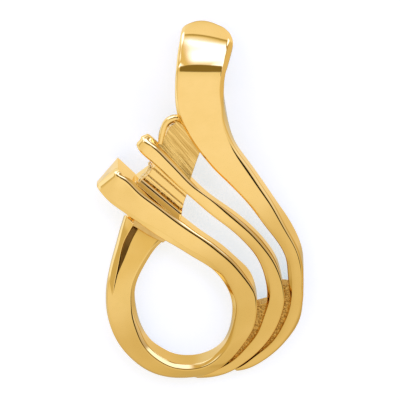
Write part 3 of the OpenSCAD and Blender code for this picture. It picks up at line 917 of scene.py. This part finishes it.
@dataclass
class Ribbon(Piece):
    """A ribbon of the casting, lofted through sections that a table gives.

    Attributes:
        rows: Its table.
        edges: How its edges are worked, at rising places. Beyond the first and the last they stay the same.
        sections: Sections along it.
        pull: Weight of smoothness along it.
        ends: Radius of the round over its start and its end, in millimetres.
        steps: Points in the round of each corner of a section.
    """

    rows: Table
    edges: Sequence[Edge]
    sections: int = 320
    pull: float = 0.01
    ends: tuple[float, float] = (0.1, 0.05)
    steps: tuple[int, ...] = (4, 8, 8, 16, 14, 14, 8, 8, 4)

    def key_points(self) -> Array:
        """Places that the table gives.

        Returns:
            Rows x 6 x 3: low edge, crease, ridge, high edge, and the backs of the low and of the high edge.
        """
        marks = np.stack([DRAWING.spot(table_part(self.rows, n)) for n in range(4)], axis=1)
        backs = marks[:, [0, 3]]
        backs[..., 2] = table_part(self.rows, 4)[:, None]
        return np.concatenate([marks, backs], axis=1)

    def edge(self, at: Array, size: str) -> Array:
        """One of the edges' sizes at places counted in rows."""
        return np.interp(at, [e.row for e in self.edges], [getattr(e, size) for e in self.edges])

    def curves(self) -> tuple[Array, Array, Array]:
        """Key points of all sections.

        Within a radius of an end the sections stand at radius times (1 - cos a) from it, and their tops drop
        by radius times (1 - sin a), with a rising evenly to a quarter turn.

        Returns:
            Sections x 6 x 3 key points, the sections' places counted in rows, and the drop of their tops.
        """
        marks = self.key_points()
        run = distances(marks[:, 1:3].mean(axis=1), ROW_LENGTH)
        first, last = self.ends
        start, end = first / run[-1], last / run[-1]
        run = run / run[-1]
        a = np.linspace(0, math.pi / 2, END_SECTIONS, endpoint=False)
        level = np.linspace(start, 1 - end, self.sections)
        places = np.concatenate([start * (1 - np.cos(a)), level, 1 - end * (1 - np.cos(a[::-1]))])
        drop = np.concatenate([first * (1 - np.sin(a)), np.zeros_like(level), last * (1 - np.sin(a[::-1]))])
        flat = faired(marks.reshape(len(marks), -1), run, places, self.pull, 2 * len(marks))
        return flat.reshape(len(places), -1, 3), np.interp(places, run, np.arange(len(marks))), drop

    def corners(self) -> tuple[Array, Array]:
        """Nine corners of every section, and the reach of the round at each.

        Returns:
            Sections x 9 x 3 and sections x 9, in this order: back and top of the high edge, foot of the
            ridge's bevel, ridge, middle of the face, crease, foot of the crease's bevel, top and back of the
            low edge.
        """
        marks, at, drop = self.curves()
        low, crease, ridge, high, low_back, high_back = np.moveaxis(marks, 1, 0).copy()
        ridge_foot = bevel_foot(ridge, high, self.edge(at, "bevel"), self.edge(at, "slope"))
        crease_foot = bevel_foot(crease, low, self.edge(at, "low_bevel"), self.edge(at, "low_slope"))
        for edge, back, foot in ((high, high_back, ridge_foot), (low, low_back, crease_foot)):
            edge[:, 2] = np.minimum(edge[:, 2], foot[:, 2] - UNDER_FOOT)
            back[:, :2] = edge[:, :2]
            back[:, 2] = np.clip(back[:, 2], 0.0, edge[:, 2] - UNDER_EDGE)
        middle = self.belly(crease, ridge, at)
        corners = [high_back, high, ridge_foot, ridge, middle, crease, crease_foot, low, low_back]
        return self.dropped(np.stack(corners, axis=1), drop), self.reach(crease, ridge, at)

    def belly(self, crease: Array, ridge: Array, at: Array) -> Array:
        """Middle corner of every section: a place on the straight face, lifted square to it by the swell.

        Args:
            crease: Points of the crease.
            ridge: Points of the ridge.
            at: The sections' places counted in rows.

        Returns:
            One point for each section.
        """
        along = unit(np.gradient((ridge + crease) / 2, axis=0))
        face = np.cross(unit(ridge - crease), along)
        face *= np.sign(face[:, 2:3] + 1e-9)
        place = self.edge(at, "belly")[:, None]
        return crease + (ridge - crease) * place + face * self.edge(at, "swell")[:, None]

    def reach(self, crease: Array, ridge: Array, at: Array) -> Array:
        """Reach of the rounds at the nine corners.

        Args:
            crease: Points of the crease.
            ridge: Points of the ridge.
            at: The sections' places counted in rows.

        Returns:
            Sections x 9.
        """
        bend = np.linalg.norm(ridge - crease, axis=1) * self.edge(at, "bend")
        foot = self.edge(at, "foot")
        edge, back = np.full(len(at), EDGE_REACH), np.full(len(at), BACK_REACH)
        half = [back, edge, foot, self.edge(at, "ridge"), bend]
        return np.stack([*half, self.edge(at, "crease"), foot, edge, back], axis=1)

    @staticmethod
    def dropped(corners: Array, drop: Array) -> Array:
        """Sections whose tops are lowered, each corner by its share of the section's height.

        Args:
            corners: Sections x corners x 3.
            drop: Drop of each section's highest corner, of which at most 0.9 of its height is taken.

        Returns:
            Sections x corners x 3.
        """
        low, top = corners[..., 2].min(axis=1, keepdims=True), corners[..., 2].max(axis=1, keepdims=True)
        share = (corners[..., 2] - low) / np.maximum(top - low, 1e-6)
        out = corners.copy()
        out[..., 2] -= share * np.minimum(drop[:, None], (top - low) * 0.9)
        return out

    def grid(self) -> Array:
        """Its surface: every section's corners, rounded."""
        return rounded(*self.corners(), self.steps)


@dataclass
class OuterRibbon(Ribbon):
    """The widest ribbon, which folds over at the top into the bail.

    Attributes:
        strap: Thickness of the strap at the back.
        band: Thickness of the band over the top and in front.
        strap_end: Row of the bail's table where the strap ends.
        band_start: Row where the band has its whole thickness.
        left_bevel: Bevel along the left edge of the bail.
        right_bevel: Bevel along its right edge.
        hand_over: Rows between which the bail's sections turn into the ribbon's own.
    """

    strap: float = 0.75
    band: float = 0.95
    strap_end: int = 3
    band_start: int = 7
    left_bevel: float = 0.18
    right_bevel: float = 0.36
    hand_over: tuple[float, float] = (16.85, 17.75)

    def forward(self, at: Array, back: float, front: float) -> Array:
        """A size at places counted in rows: one on the strap, one on the band, and evenly between."""
        return np.interp(at, [self.strap_end, self.band_start], [back, front])

    def bail_points(self) -> Array:
        """Key points of the bail: the tilt turns a row's outer face about x, and the bevels fall from it.

        The right edge lies down the face and the left edge up it, by half of what the table gives each.

        Returns:
            Rows x 6 x 3, in the order of a ribbon's key points.
        """
        rows = np.array(BAIL_ROWS, float)
        at = np.arange(len(rows))
        y, z, _, left, right, crown, skew, lift = rows.T[..., None]
        out, x = tilted(rows[:, 2]), np.array([1, 0, 0])
        face = (y - lift) * [0, 1, 0] + z * UP
        edge = face - out * crown
        thick = self.forward(at, self.strap, self.band)[:, None]
        bevel = self.forward(at, self.left_bevel, self.right_bevel)[:, None]
        down = np.array([0, -0.5, 0]) * skew
        low = edge + x * left - out * self.left_bevel - down
        crease = edge + x * (left + self.left_bevel) - down
        ridge = edge + x * (right - bevel) + down
        high = edge + x * right - out * bevel + down
        low_back = face + x * left - out * thick - down
        high_back = face + x * right - out * thick + down
        return np.stack([low, crease, ridge, high, low_back, high_back], axis=1)

    def key_points(self) -> Array:
        """Key points of the bail's rows and then of the ribbon's own, which shares the bail's last row."""
        return np.concatenate([self.bail_points(), super().key_points()[1:]])

    def corners(self) -> tuple[Array, Array]:
        """Corners as a ribbon's, but the backs of the bail's sections stay parallel to its outer face.

        The face's middle corner stands out and up by twice what the table gives, because a round passes half
        way between its corner and the straight line under it.

        Returns:
            Sections x 9 x 3 corners, and sections x 9 reaches.
        """
        marks, at, _ = self.curves()
        corners, reach = super().corners()
        low, crease, ridge, high, _, _ = np.moveaxis(marks, 1, 0)
        rows = np.array(BAIL_ROWS, float)
        tilt, crown, lift = (np.interp(at, np.arange(len(rows)), rows[:, n])[:, None] for n in (2, 5, 7))
        out = tilted(tilt[:, 0])
        thick = self.forward(at, self.strap, self.band)[:, None]
        place = self.edge(at, "belly")[:, None]
        middle = crease + (ridge - crease) * place + out * (2 * crown) + lift * [0, 2, 0]
        high_back = high - out * (thick - self.right_bevel)
        low_back = low - out * (thick - self.left_bevel)
        feet = (ridge + high) / 2, (crease + low) / 2
        bail = np.stack([high_back, high, feet[0], ridge, middle, crease, feet[1], low, low_back], axis=1)
        bail[..., 2] = np.maximum(bail[..., 2], 0)
        on_bail = np.interp(at, self.hand_over, [1, 0])[:, None, None]
        return corners * (1 - on_bail) + bail * on_bail, reach


@dataclass
class Slab(Piece):
    """A piece between two side lines, with a top that may sink and straight walls down to a bottom.

    Attributes:
        sides: Marks along its first side and, as many, along its second, each [across, down, height].
        bottom: Height of its bottom.
        sink: How far its middle lies under the straight line between its sides.
        count: Points along it and across it.
        pull: Weight of smoothness along its sides.
    """

    sides: Table
    bottom: float
    sink: float = 0.0
    count: tuple[int, int] = (90, 60)
    pull: float = 0.002

    def top(self) -> Array:
        """Its top: u along the sides, v from the first to the second, lowered by the sink times 4v(1-v).

        Returns:
            Places along it x places across it x 3.
        """
        u, v = np.linspace(0, 1, self.count[0]), np.linspace(0, 1, self.count[1])[:, None]
        lines = []
        for side in self.sides:
            marks = DRAWING.spot(side)
            run = distances(marks)
            lines.append(faired(marks, run / run[-1], u, self.pull, max(len(marks), 4))[:, None])
        return lines[0] * (1 - v) + lines[1] * v - UP * (self.sink * 4 * v * (1 - v))

    def grid(self) -> Array:
        """Its surface: over the top, down the far wall and back under the bottom.

        Returns:
            Sections x points x 3.
        """
        top = self.top()
        feet = top[:, [-1, 0]]
        feet[..., 2] = self.bottom
        return np.concatenate([top, feet], axis=1)


@dataclass
class Bead(Piece):
    """A rounded bead along a line, such as the lip of the upper seat.

    Attributes:
        rows: Rows of [across, down, height] and of half width and half height in millimetres.
        count: Sections along it and points round it.
        power: Power that makes each section a rounded square: its sides to this power add up to one.
        pull: Weight of smoothness along it.
    """

    rows: Table
    count: tuple[int, int] = (120, 28)
    power: float = 2.6
    pull: float = 0.001

    def grid(self) -> Array:
        """Its surface: round every place of the line a superellipse, square to the line.

        Returns:
            Sections x points x 3.
        """
        rows = np.array(self.rows, float)
        marks = DRAWING.spot(rows[:, :3])
        run = distances(marks)
        at = np.linspace(0, 1, self.count[0])
        values = np.hstack([marks, rows[:, 3:]])
        line, size = np.split(faired(values, run / run[-1], at, self.pull, 2 * len(rows)), [3], axis=1)
        a = np.linspace(0, 2 * math.pi, self.count[1], endpoint=False)
        level, high = (np.sign(s) * np.abs(s) ** (2 / self.power) for s in (np.cos(a), np.sin(a)))
        out = beside(line)[:, None] * (level * size[:, :1])[..., None]
        return line[:, None] + out + UP * (high * size[:, 1:])[..., None]


@dataclass
class Channel(Piece):
    """A piece whose top runs over straight lines, with a small round along each of them.

    Attributes:
        lines: Its lines, each with the marks of its two ends.
        bottom: Height of its underside.
        reach: Reach of the rounds.
        count: Sections along it.
        steps: Points in each round.
    """

    lines: Table
    bottom: float
    reach: float = 0.05
    count: int = 80
    steps: int = 5

    def grid(self) -> Array:
        """Its surface: straight from one end of the lines to the other, closed under the bottom.

        Returns:
            Sections x points x 3.
        """
        ends = DRAWING.spot(self.lines)
        u = np.linspace(0, 1, self.count)[:, None, None]
        corners = ends[:, 0] * (1 - u) + ends[:, 1] * u
        under = corners[:, [-1, 0]]
        under[..., 2] = self.bottom
        corners = np.concatenate([corners, under], axis=1)
        return rounded(corners, np.full(corners.shape[:2], self.reach), (self.steps,) * corners.shape[1])


# Light tent, floor and camera


class Measure(Enum):
    """What the tent's steps are taken over, worked out for the direction that light comes from.

    X, Y and Z are the direction's parts. RISE is its angle toward +y from straight up, TURN its angle toward
    +x and ASIDE the size of that turn. NEAR is the cosine of its angle from the lens, and OFF that angle.
    SLOPE is the slope of the surface that mirrors it to the lens, FACING where this surface faces, from +y
    toward +x, and EITHER_WAY the size of that. LEFT_LIGHT, RIGHT_LIGHT and DARK_CARD are the distances in
    the three ovals. Angles are in degrees.
    """

    X = auto()
    Y = auto()
    Z = auto()
    RISE = auto()
    TURN = auto()
    ASIDE = auto()
    NEAR = auto()
    OFF = auto()
    SLOPE = auto()
    FACING = auto()
    EITHER_WAY = auto()
    LEFT_LIGHT = auto()
    RIGHT_LIGHT = auto()
    DARK_CARD = auto()


# A soft step: what it is taken over, where it is 0 and where it is 1
Step = tuple[Measure, float, float]
Measured = dict[Measure, Signal]


def product(steps: Sequence[Step], measured: Measured) -> Signal:
    """Product of soft steps."""
    return reduce(mul, (measured[over].between(zero, one) for over, zero, one in steps))


def tinted(tone: Tone, tint: Tone) -> Tone:
    """A tone seen through a tint."""
    return tuple(v * t for v, t in zip(tone, tint))


@dataclass(frozen=True)
class Oval:
    """An oval in the tent.

    Attributes:
        middle: Its middle: x, and how far it lies toward the top of the picture.
        along: Weights of these two in the distance along it.
        across: Weights of these two in the distance across it.
    """

    middle: tuple[float, float]
    along: tuple[float, float]
    across: tuple[float, float]

    def distance(self, x: Signal, up: Signal) -> Signal:
        """Root of the squared distance along it plus the squared distance across it.

        Args:
            x: The direction's x.
            up: How far it lies toward the top of the picture.

        Returns:
            Distance from the oval's middle.
        """
        right, over = x - self.middle[0], up - self.middle[1]
        along = right * self.along[0] + over * self.along[1]
        across = right * self.across[0] + over * self.across[1]
        return (along * along + across * across) ** 0.5


@dataclass(frozen=True)
class Patch:
    """A part of the tent with a tone of its own and soft borders.

    Attributes:
        tone: Its tone.
        steps: Steps whose product is its mask.
        share: How much of its tone shows where the mask is 1.
        gaps: What is cut out of it, each as how deep it is cut and the steps of the cut.
        other: Tone that its own turns into, if it does.
        blend: Step over which it does.
    """

    tone: Tone
    steps: tuple[Step, ...]
    share: float = 1.0
    gaps: tuple[tuple[float, tuple[Step, ...]], ...] = ()
    other: Optional[Tone] = None
    blend: tuple[Step, ...] = ()

    def over(self, bench: Bench, sky: Signal, measured: Measured, tint: Tone) -> Signal:
        """The tent with this patch laid over it.

        Args:
            bench: Where the nodes go.
            sky: Tone of the tent so far.
            measured: Signal of each measure.
            tint: What both tones are seen through.

        Returns:
            Tone of the tent with the patch.
        """
        tone = tinted(self.tone, tint)
        if self.other:
            tone = bench.mix(product(self.blend, measured), tone, tinted(self.other, tint))
        mask = product(self.steps, measured) * self.share
        for depth, steps in self.gaps:
            mask = mask * (1 - product(steps, measured) * depth)
        return bench.mix(mask, sky, tone)


# Tones of the reflectors and of the black round the lens, and a tint that changes nothing
REFLECTOR: Tone = (1.6, 1.9, 3.2)
BLACK: Tone = (0.015, 0.009, 0.002)
CLEAR: Tone = (1.0, 1.0, 1.0)

# Steps that several patches share
UNDER_TABLE: Step = (Measure.Z, 0.05, -0.1)
NOT_FAR_DOWN: Step = (Measure.Z, -0.42, -0.2)


@dataclass(frozen=True)
class Tent:
    """Light tent as a sky: tones by the direction they come from.

    The arc passes the warm table in front, the front panel, the lens, the white panel behind the bail with
    the dark gap over it, and the back cloth.

    Attributes:
        line: Direction of the lens.
        arc: Rows of rise in degrees and tone, at no turn.
        top: Largest tone in the rows, because a ramp holds only 0 to 1.
        tint: Warmth of the arc and of the cloths.
        cloths: The cloths, in the order they are laid.
        gear: The reflectors and dark things, laid over them.
        ovals: The ovals that some of the gear has its distances from.
        paper: What the camera sees beyond the floor.
    """

    line: tuple[float, float, float] = (0.0, math.sin(DRAWING.lean), math.cos(DRAWING.lean))
    arc: Table = (
        (-180, (0.62, 0.64, 0.62)),
        (-125, (0.68, 0.66, 0.56)),
        (-100, (0.84, 0.78, 0.60)),
        (-82, (0.90, 0.86, 0.70)),
        (-70, (0.98, 0.95, 0.86)),
        (-30, (0.99, 0.96, 0.90)),
        (-10, (0.91, 0.88, 0.75)),
        (30, (0.86, 0.82, 0.68)),
        (36, (0.97, 1.0, 1.13)),
        (46, (1.07, 1.15, 1.6)),
        (51, (1.5, 1.75, 3.5)),
        (53, (1.8, 2.2, 4.5)),
        (60, (1.8, 2.2, 4.5)),
        (65, (1.05, 1.35, 2.5)),
        (70, (0.99, 1.05, 1.27)),
        (75, (0.86, 0.81, 0.66)),
        (80, (0.58, 0.50, 0.28)),
        (84, (0.40, 0.32, 0.13)),
        (87, (0.55, 0.47, 0.25)),
        (91, (0.93, 0.90, 0.78)),
        (96, (0.98, 0.95, 0.86)),
        (125, (0.95, 0.92, 0.84)),
        (150, (0.90, 0.86, 0.72)),
        (180, (0.70, 0.63, 0.40)),
    )
    top: float = 5.0
    tint: Tone = (0.99, 0.90, 0.80)
    cloths: tuple[Patch, ...] = (
        # Warm front beside its panel
        Patch((0.88, 0.83, 0.69), ((Measure.RISE, 12, -8), (Measure.ASIDE, 10, 34)), share=0.85),
        # Wings beyond the left end of the rear panel and beyond its right frame
        Patch(
            (0.80, 0.70, 0.43),
            ((Measure.RISE, -8, 12), (Measure.Z, -0.05, 0.1)),
            gaps=((1.0, ((Measure.TURN, 19, 14), (Measure.TURN, -12, -1.5))),),
            other=(0.50, 0.38, 0.18),
            blend=((Measure.X, -0.1, 0.1),),
        ),
        # Under the table's height: at the right, at the front on the right, and at the left
        Patch((0.97, 0.92, 0.82), (UNDER_TABLE, (Measure.Y, -0.25, -0.1), (Measure.X, 0.05, 0.35))),
        Patch((0.66, 0.58, 0.38), (UNDER_TABLE, (Measure.Y, -0.1, -0.3), (Measure.X, 0.2, 0.5))),
        Patch((0.98, 1.04, 1.2), (UNDER_TABLE, (Measure.Y, -0.25, -0.1), (Measure.X, -0.05, -0.3))),
        # Far out at the left, pale under the table's height and warm over it, and far out at the right
        Patch(
            (1.05, 1.15, 1.4),
            ((Measure.X, -0.75, -0.88),),
            other=(0.66, 0.57, 0.33),
            blend=((Measure.Z, -0.03, 0.05),),
        ),
        Patch((0.76, 0.65, 0.42), ((Measure.X, 0.8, 0.9),)),
    )
    gear: tuple[Patch, ...] = (
        # Bow of light round the lens, open toward the bail, weaker at its right end and thinner at its left
        Patch(
            REFLECTOR,
            (
                (Measure.SLOPE, 25, 28),
                (Measure.SLOPE, 39, 36),
                (Measure.EITHER_WAY, 86, 74),
                (Measure.FACING, -46, -36),
            ),
            gaps=(
                (1.0, ((Measure.FACING, 14, 9), (Measure.FACING, -19, -14))),
                (0.8, ((Measure.FACING, 43, 50),)),
                (1.0, ((Measure.FACING, -4, -9), (Measure.SLOPE, 31.5, 33.5))),
            ),
        ),
        # Small lights at the left and the right corner of the back
        Patch(REFLECTOR, ((Measure.LEFT_LIGHT, 1.15, 0.7), NOT_FAR_DOWN)),
        Patch(REFLECTOR, ((Measure.RIGHT_LIGHT, 1.1, 0.6), NOT_FAR_DOWN)),
        # Lens with its dark surround, and a dark card at its lower right
        Patch((0.24, 0.17, 0.05), ((Measure.OFF, 24, 17),), other=BLACK, blend=((Measure.ASIDE, 19, 30),)),
        Patch(BLACK, ((Measure.DARK_CARD, 0.27, 0.21), (Measure.NEAR, 0.1, 0.3))),
    )
    ovals: tuple[tuple[Measure, Oval], ...] = (
        (Measure.LEFT_LIGHT, Oval((-0.5, 0.84), (2.8, 0), (0, 3.2))),
        (Measure.RIGHT_LIGHT, Oval((0.67, 0.73), (5, 0), (0, 5))),
        (Measure.DARK_CARD, Oval((0.46, -0.36), (0.84, -0.74), (0.66, 0.75))),
    )
    paper: Tone = (0.93, 0.935, 0.95)

    def measured(self, bench: Bench, way: Signal) -> Measured:
        """Works out what the steps are taken over.

        Args:
            bench: Where the nodes go.
            way: Direction that the light comes from.

        Returns:
            Signal of each measure.
        """
        x, y, z = bench.axes(way)
        _, sine, cosine = self.line
        near = bench.node(
            "ShaderNodeVectorMath", {"operation": "DOT_PRODUCT"}, {0: way, 1: self.line}, out="Value"
        )
        turn, facing = x.angle((y * y + z * z) ** 0.5), x.angle(y + sine)
        up = y * cosine - z * sine
        found = {
            Measure.X: x,
            Measure.Y: y,
            Measure.Z: z,
            Measure.RISE: y.angle(z),
            Measure.TURN: turn,
            Measure.ASIDE: abs(turn),
            Measure.NEAR: near,
            Measure.OFF: near.arc(),
            Measure.SLOPE: ((z + cosine) / (near * 2 + 2) ** 0.5).arc(),
            Measure.FACING: facing,
            Measure.EITHER_WAY: abs(facing),
        }
        return found | {measure: oval.distance(x, up) for measure, oval in self.ovals}

    def build(self) -> None:
        """Makes the tent the scene's world: the arc, then the cloths and the gear laid over it in turn."""
        world = bpy.data.worlds.new("light_tent")
        bpy.context.scene.world = world
        world.use_nodes = True
        world.node_tree.nodes.clear()
        bench = Bench(world.node_tree)
        measured = self.measured(bench, bench.node("ShaderNodeTexCoord", {}, {}, out="Generated"))
        share = tinted(self.tint, (1 / self.top,) * 3)
        stops = [((at + 180) / 360, tinted(tone, share)) for at, tone in self.arc]
        place = (measured[Measure.RISE] + 180) / 360
        dim = bench.node("ShaderNodeValToRGB", {"stops": stops}, {0: place})
        tone = bench.node("ShaderNodeVectorMath", {"operation": "SCALE"}, {0: dim, "Scale": self.top})
        for patches, tint in ((self.cloths, self.tint), (self.gear, CLEAR)):
            for patch in patches:
                tone = patch.over(bench, tone, measured, tint)
        seen = bench.node("ShaderNodeLightPath", {}, {}, out="Is Camera Ray")
        tone = bench.mix(seen, tone, self.paper)
        bench.end("ShaderNodeOutputWorld", bench.node("ShaderNodeBackground", {}, {"Color": tone}))


@dataclass(frozen=True)
class Studio:
    """Floor, light and camera.

    Attributes:
        picture: Width of the picture in the drawing.
        aim: Where the middle of the picture lies in the drawing, with its height in millimetres.
        distance: From the camera to the pendant, in metres.
        sensor: Width of the camera's sensor in millimetres.
        clip: Nearest and farthest that the camera sees, in metres.
        half: Half the side of the floor, in metres.
        level: Height of the floor in metres, a hair under the pendant.
        white: Colour of the floor.
        glow: What it sends out by itself, and how strongly.
    """

    picture: float = 400
    aim: tuple[float, float, float] = (200.0, 200.0, 1.6)
    distance: float = 0.7
    sensor: float = 36.0
    clip: tuple[float, float] = (0.01, 10.0)
    half: float = 1.5
    level: float = -0.00002
    white: Tone = (0.79, 0.63, 0.59)
    glow: tuple[Tone, float] = ((0.61, 0.855, 1.0), 0.7)

    def floor(self) -> None:
        """White floor under the pendant, which the gold doesn't mirror."""
        mesh = bpy.data.meshes.new("floor")
        near, far, level = -self.half, self.half, self.level
        corners = [(near, near, level), (far, near, level), (far, far, level), (near, far, level)]
        mesh.from_pydata(corners, [], [(0, 1, 2, 3)])
        mesh.update()
        made = bpy.data.materials.new("floor_white")
        made.use_nodes = True
        shader = made.node_tree.nodes["Principled BSDF"]
        shader.inputs["Base Color"].default_value = colour(self.white)
        shader.inputs["Roughness"].default_value = 0.9
        shader.inputs["Specular IOR Level"].default_value = 0.0
        shader.inputs["Emission Color"].default_value = colour(self.glow[0])
        shader.inputs["Emission Strength"].default_value = self.glow[1]
        mesh.materials.append(made)
        floor = bpy.data.objects.new("floor", mesh)
        bpy.context.scene.collection.objects.link(floor)
        floor.visible_glossy = False

    def camera(self) -> None:
        """Camera at the drawing's lean, above the floor."""
        lens = bpy.data.cameras.new("camera")
        scale = DRAWING.size * MM
        lens.sensor_width = self.sensor
        lens.lens = self.sensor * self.distance / (self.picture * DRAWING.unit * scale)
        lens.clip_start, lens.clip_end = self.clip
        camera = bpy.data.objects.new("camera", lens)
        bpy.context.scene.collection.objects.link(camera)
        line = Vector((0, math.sin(DRAWING.lean), math.cos(DRAWING.lean)))
        camera.location = Vector(DRAWING.spot(self.aim) * scale) + line * self.distance
        camera.rotation_euler = (-DRAWING.lean, 0, 0)
        bpy.context.scene.camera = camera

    def build(self) -> None:
        """Sets up floor, tent and camera."""
        self.floor()
        Tent().build()
        self.camera()
        bpy.context.scene.view_settings.view_transform = "Standard"
        bpy.context.scene.view_settings.look = "None"


# The whole pendant

Parts = list[tuple[Piece, Finish]]


def golds() -> dict[Finish, bpy.types.Material]:
    """A material for each finish."""
    return {finish: finish.value.material(f"gold_{finish.name.lower()}") for finish in Finish}


@dataclass
class SlidePendant:
    """The whole casting.

    Attributes:
        golds: Material of each finish.
    """

    golds: dict[Finish, bpy.types.Material] = field(default_factory=golds)

    def ribbons(self) -> Parts:
        """The three ribbons and the rim on the loop's arm.

        Returns:
            Pieces with their finishes.
        """
        broad = partial(Edge, bend=0.45, swell=0.06)
        outer = (
            Edge(4, swell=0, crease=0.1, ridge=0.1),
            Edge(7, ridge=0.16, crease=0.26, belly=0.34, bend=0.6),
            Edge(10, ridge=0.18, crease=0.26, belly=0.38, bend=0.45),
            Edge(14, ridge=0.06, belly=0.4, bend=0.42),
            broad(16, bevel=0.1, ridge=0.05, crease=0.16),
            broad(19, bevel=0.14, ridge=0.07, crease=0.07),
            broad(21.5, bevel=0.24, slope=36, ridge=0.22, crease=0.07),
            broad(22.5, bevel=0.3, slope=36, ridge=0.32, crease=0.07),
            broad(24.5, bevel=0.28, slope=36, ridge=0.26, crease=0.07),
            broad(26, bevel=0.22, slope=36, ridge=0.14, crease=0.08),
            broad(28, bevel=0.2, slope=38, ridge=0.1, crease=0.1),
            Edge(32, bevel=0.12, slope=50, ridge=0.16),
            Edge(37, bevel=0.1, slope=50, ridge=0.12, crease=0.12, swell=0.02),
        )
        middle = (
            Edge(0, bevel=0.24, slope=32, ridge=0.1, crease=0.12, swell=0.02),
            Edge(3, bevel=0.24, slope=44, crease=0.1, swell=0.04),
            Edge(5.5, bevel=0.26, slope=42, ridge=0.21, crease=0.1),
            Edge(6.7, bevel=0.28, slope=33, crease=0.1),
            Edge(8, bevel=0.28, slope=33, ridge=0.22, crease=0.1),
            Edge(9.2, bevel=0.26, slope=42, ridge=0.23, crease=0.12),
            Edge(11, bevel=0.2, slope=44, ridge=0.17, crease=0.14),
            Edge(14, bevel=0.1, slope=48, ridge=0.14, crease=0.16),
            Edge(20, bevel=0.08, slope=50, ridge=0.1, crease=0.1, swell=0.02),
        )
        thin = partial(Edge, bevel=0.06, crease=0.14)
        loop = (
            Edge(0, bevel=0.42, slope=20, ridge=0.18, crease=0.12, swell=0.04),
            Edge(1, bevel=0.42, slope=38, ridge=0.24, crease=0.12, swell=0.04),
            Edge(2, bevel=0.42, slope=42, ridge=0.25, crease=0.1, swell=0.04),
            Edge(5.2, bevel=0.34, slope=41, ridge=0.25, crease=0.1, foot=0.1),
            Edge(6.6, bevel=0.34, slope=34, ridge=0.24, crease=0.12, foot=0.1),
            Edge(8.2, bevel=0.32, slope=33, ridge=0.24, crease=0.14, foot=0.1),
            Edge(9.5, bevel=0.26, slope=38, ridge=0.24, crease=0.14),
            Edge(12, bevel=0.1, slope=45, low_bevel=0.1, low_slope=35, ridge=0.16, crease=0.14),
            thin(15, slope=50, low_bevel=0.34, low_slope=31, ridge=0.14, swell=0.04, foot=0.08),
            thin(19, slope=55, low_bevel=0.46, low_slope=37, ridge=0.12, crease=0.15, swell=0.02, foot=0.1),
            thin(23, slope=55, low_bevel=0.34, low_slope=33, ridge=0.12, swell=0.03, foot=0.08),
            thin(24.5, slope=50, low_bevel=0.1, low_slope=35),
            thin(26, slope=50, ridge=0.12, swell=0.02),
            thin(28, slope=50, ridge=0.12, crease=0.16, swell=-0.03),
        )
        steep = partial(Edge, low_bevel=0.14, low_slope=60, ridge=0.05, crease=0.1, swell=0)
        rim = (
            steep(0, bevel=0.3, slope=62),
            steep(2, bevel=0.28, slope=62),
            steep(4, bevel=0.18, slope=60),
            steep(6, bevel=0.06, slope=50),
        )
        return [
            (OuterRibbon("outer_ribbon", OUTER_ROWS, outer, sections=420, pull=0.003), Finish.POLISHED),
            (Ribbon("middle_ribbon", MIDDLE_ROWS, middle, ends=(0.35, 0.05)), Finish.POLISHED),
            (Ribbon("loop_ribbon", LOOP_ROWS, loop, sections=460, ends=(0.5, 0.05)), Finish.POLISHED),
            (Ribbon("rim", RIM_ROWS, rim, sections=160), Finish.POLISHED),
        ]

    def seats(self) -> Parts:
        """Both empty seats, with the upper one's lip, the lower one's slot and the rough spots of both.

        Returns:
            Pieces with their finishes.
        """
        return [
            (Slab("upper_seat", UPPER_SEAT_SIDES, 1.2, sink=0.12), Finish.BRUSHED),
            (Bead("upper_lip", UPPER_LIP), Finish.POLISHED),
            (Channel("lower_seat", SEAT_LINES, 0.9), Finish.POLISHED),
            (Slab("seat_slot", SLOT_SIDES, 1.2, sink=0.1), Finish.ROUGH),
            (Bead("seat_nubs", NUBS), Finish.PALE),
            (Bead("lip_nubs", LIP_NUBS), Finish.PALE),
        ]

    def arm(self) -> Parts:
        """The groove beside the rim and the ledge under the head, both on the loop's left arm.

        Returns:
            Pieces with their finishes.
        """
        groove = (Edge(0, bevel=0.02, ridge=0.04, crease=0.03, swell=0),)
        ledge = (Edge(0, bevel=0.05, ridge=0.08, crease=0.08, swell=0.01),)
        return [
            (Ribbon("arm_groove", GROOVE_ROWS, groove, sections=110), Finish.DULL),
            (Ribbon("head_ledge", LEDGE_ROWS, ledge, sections=90, ends=(0.1, 0.1)), Finish.DEEP),
        ]

    def webs(self) -> Parts:
        """The two low webs, from the floor up.

        Returns:
            Pieces with their finishes.
        """
        return [
            (Slab("inner_web", INNER_WEB_SIDES, 0.0), Finish.AS_CAST),
            (Slab("outer_web", OUTER_WEB_SIDES, 0.0), Finish.AS_CAST),
        ]

    def build(self) -> list[bpy.types.Object]:
        """Builds every part in its finish."""
        parts = self.ribbons() + self.seats() + self.arm() + self.webs()
        return [part.make(self.golds[finish]) for part, finish in parts]


def main() -> None:
    """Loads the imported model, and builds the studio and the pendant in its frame."""
    logging.basicConfig(level=logging.INFO, format="%(name)s: %(message)s")
    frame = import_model()
    log.info("frame: %s", ", ".join(frame["nodes"]))
    Studio().build()
    for piece in SlidePendant().build():
        log.info("%s: %d points, %d faces", piece.name, len(piece.data.vertices), len(piece.data.polygons))


if __name__ == "__main__":
    main()
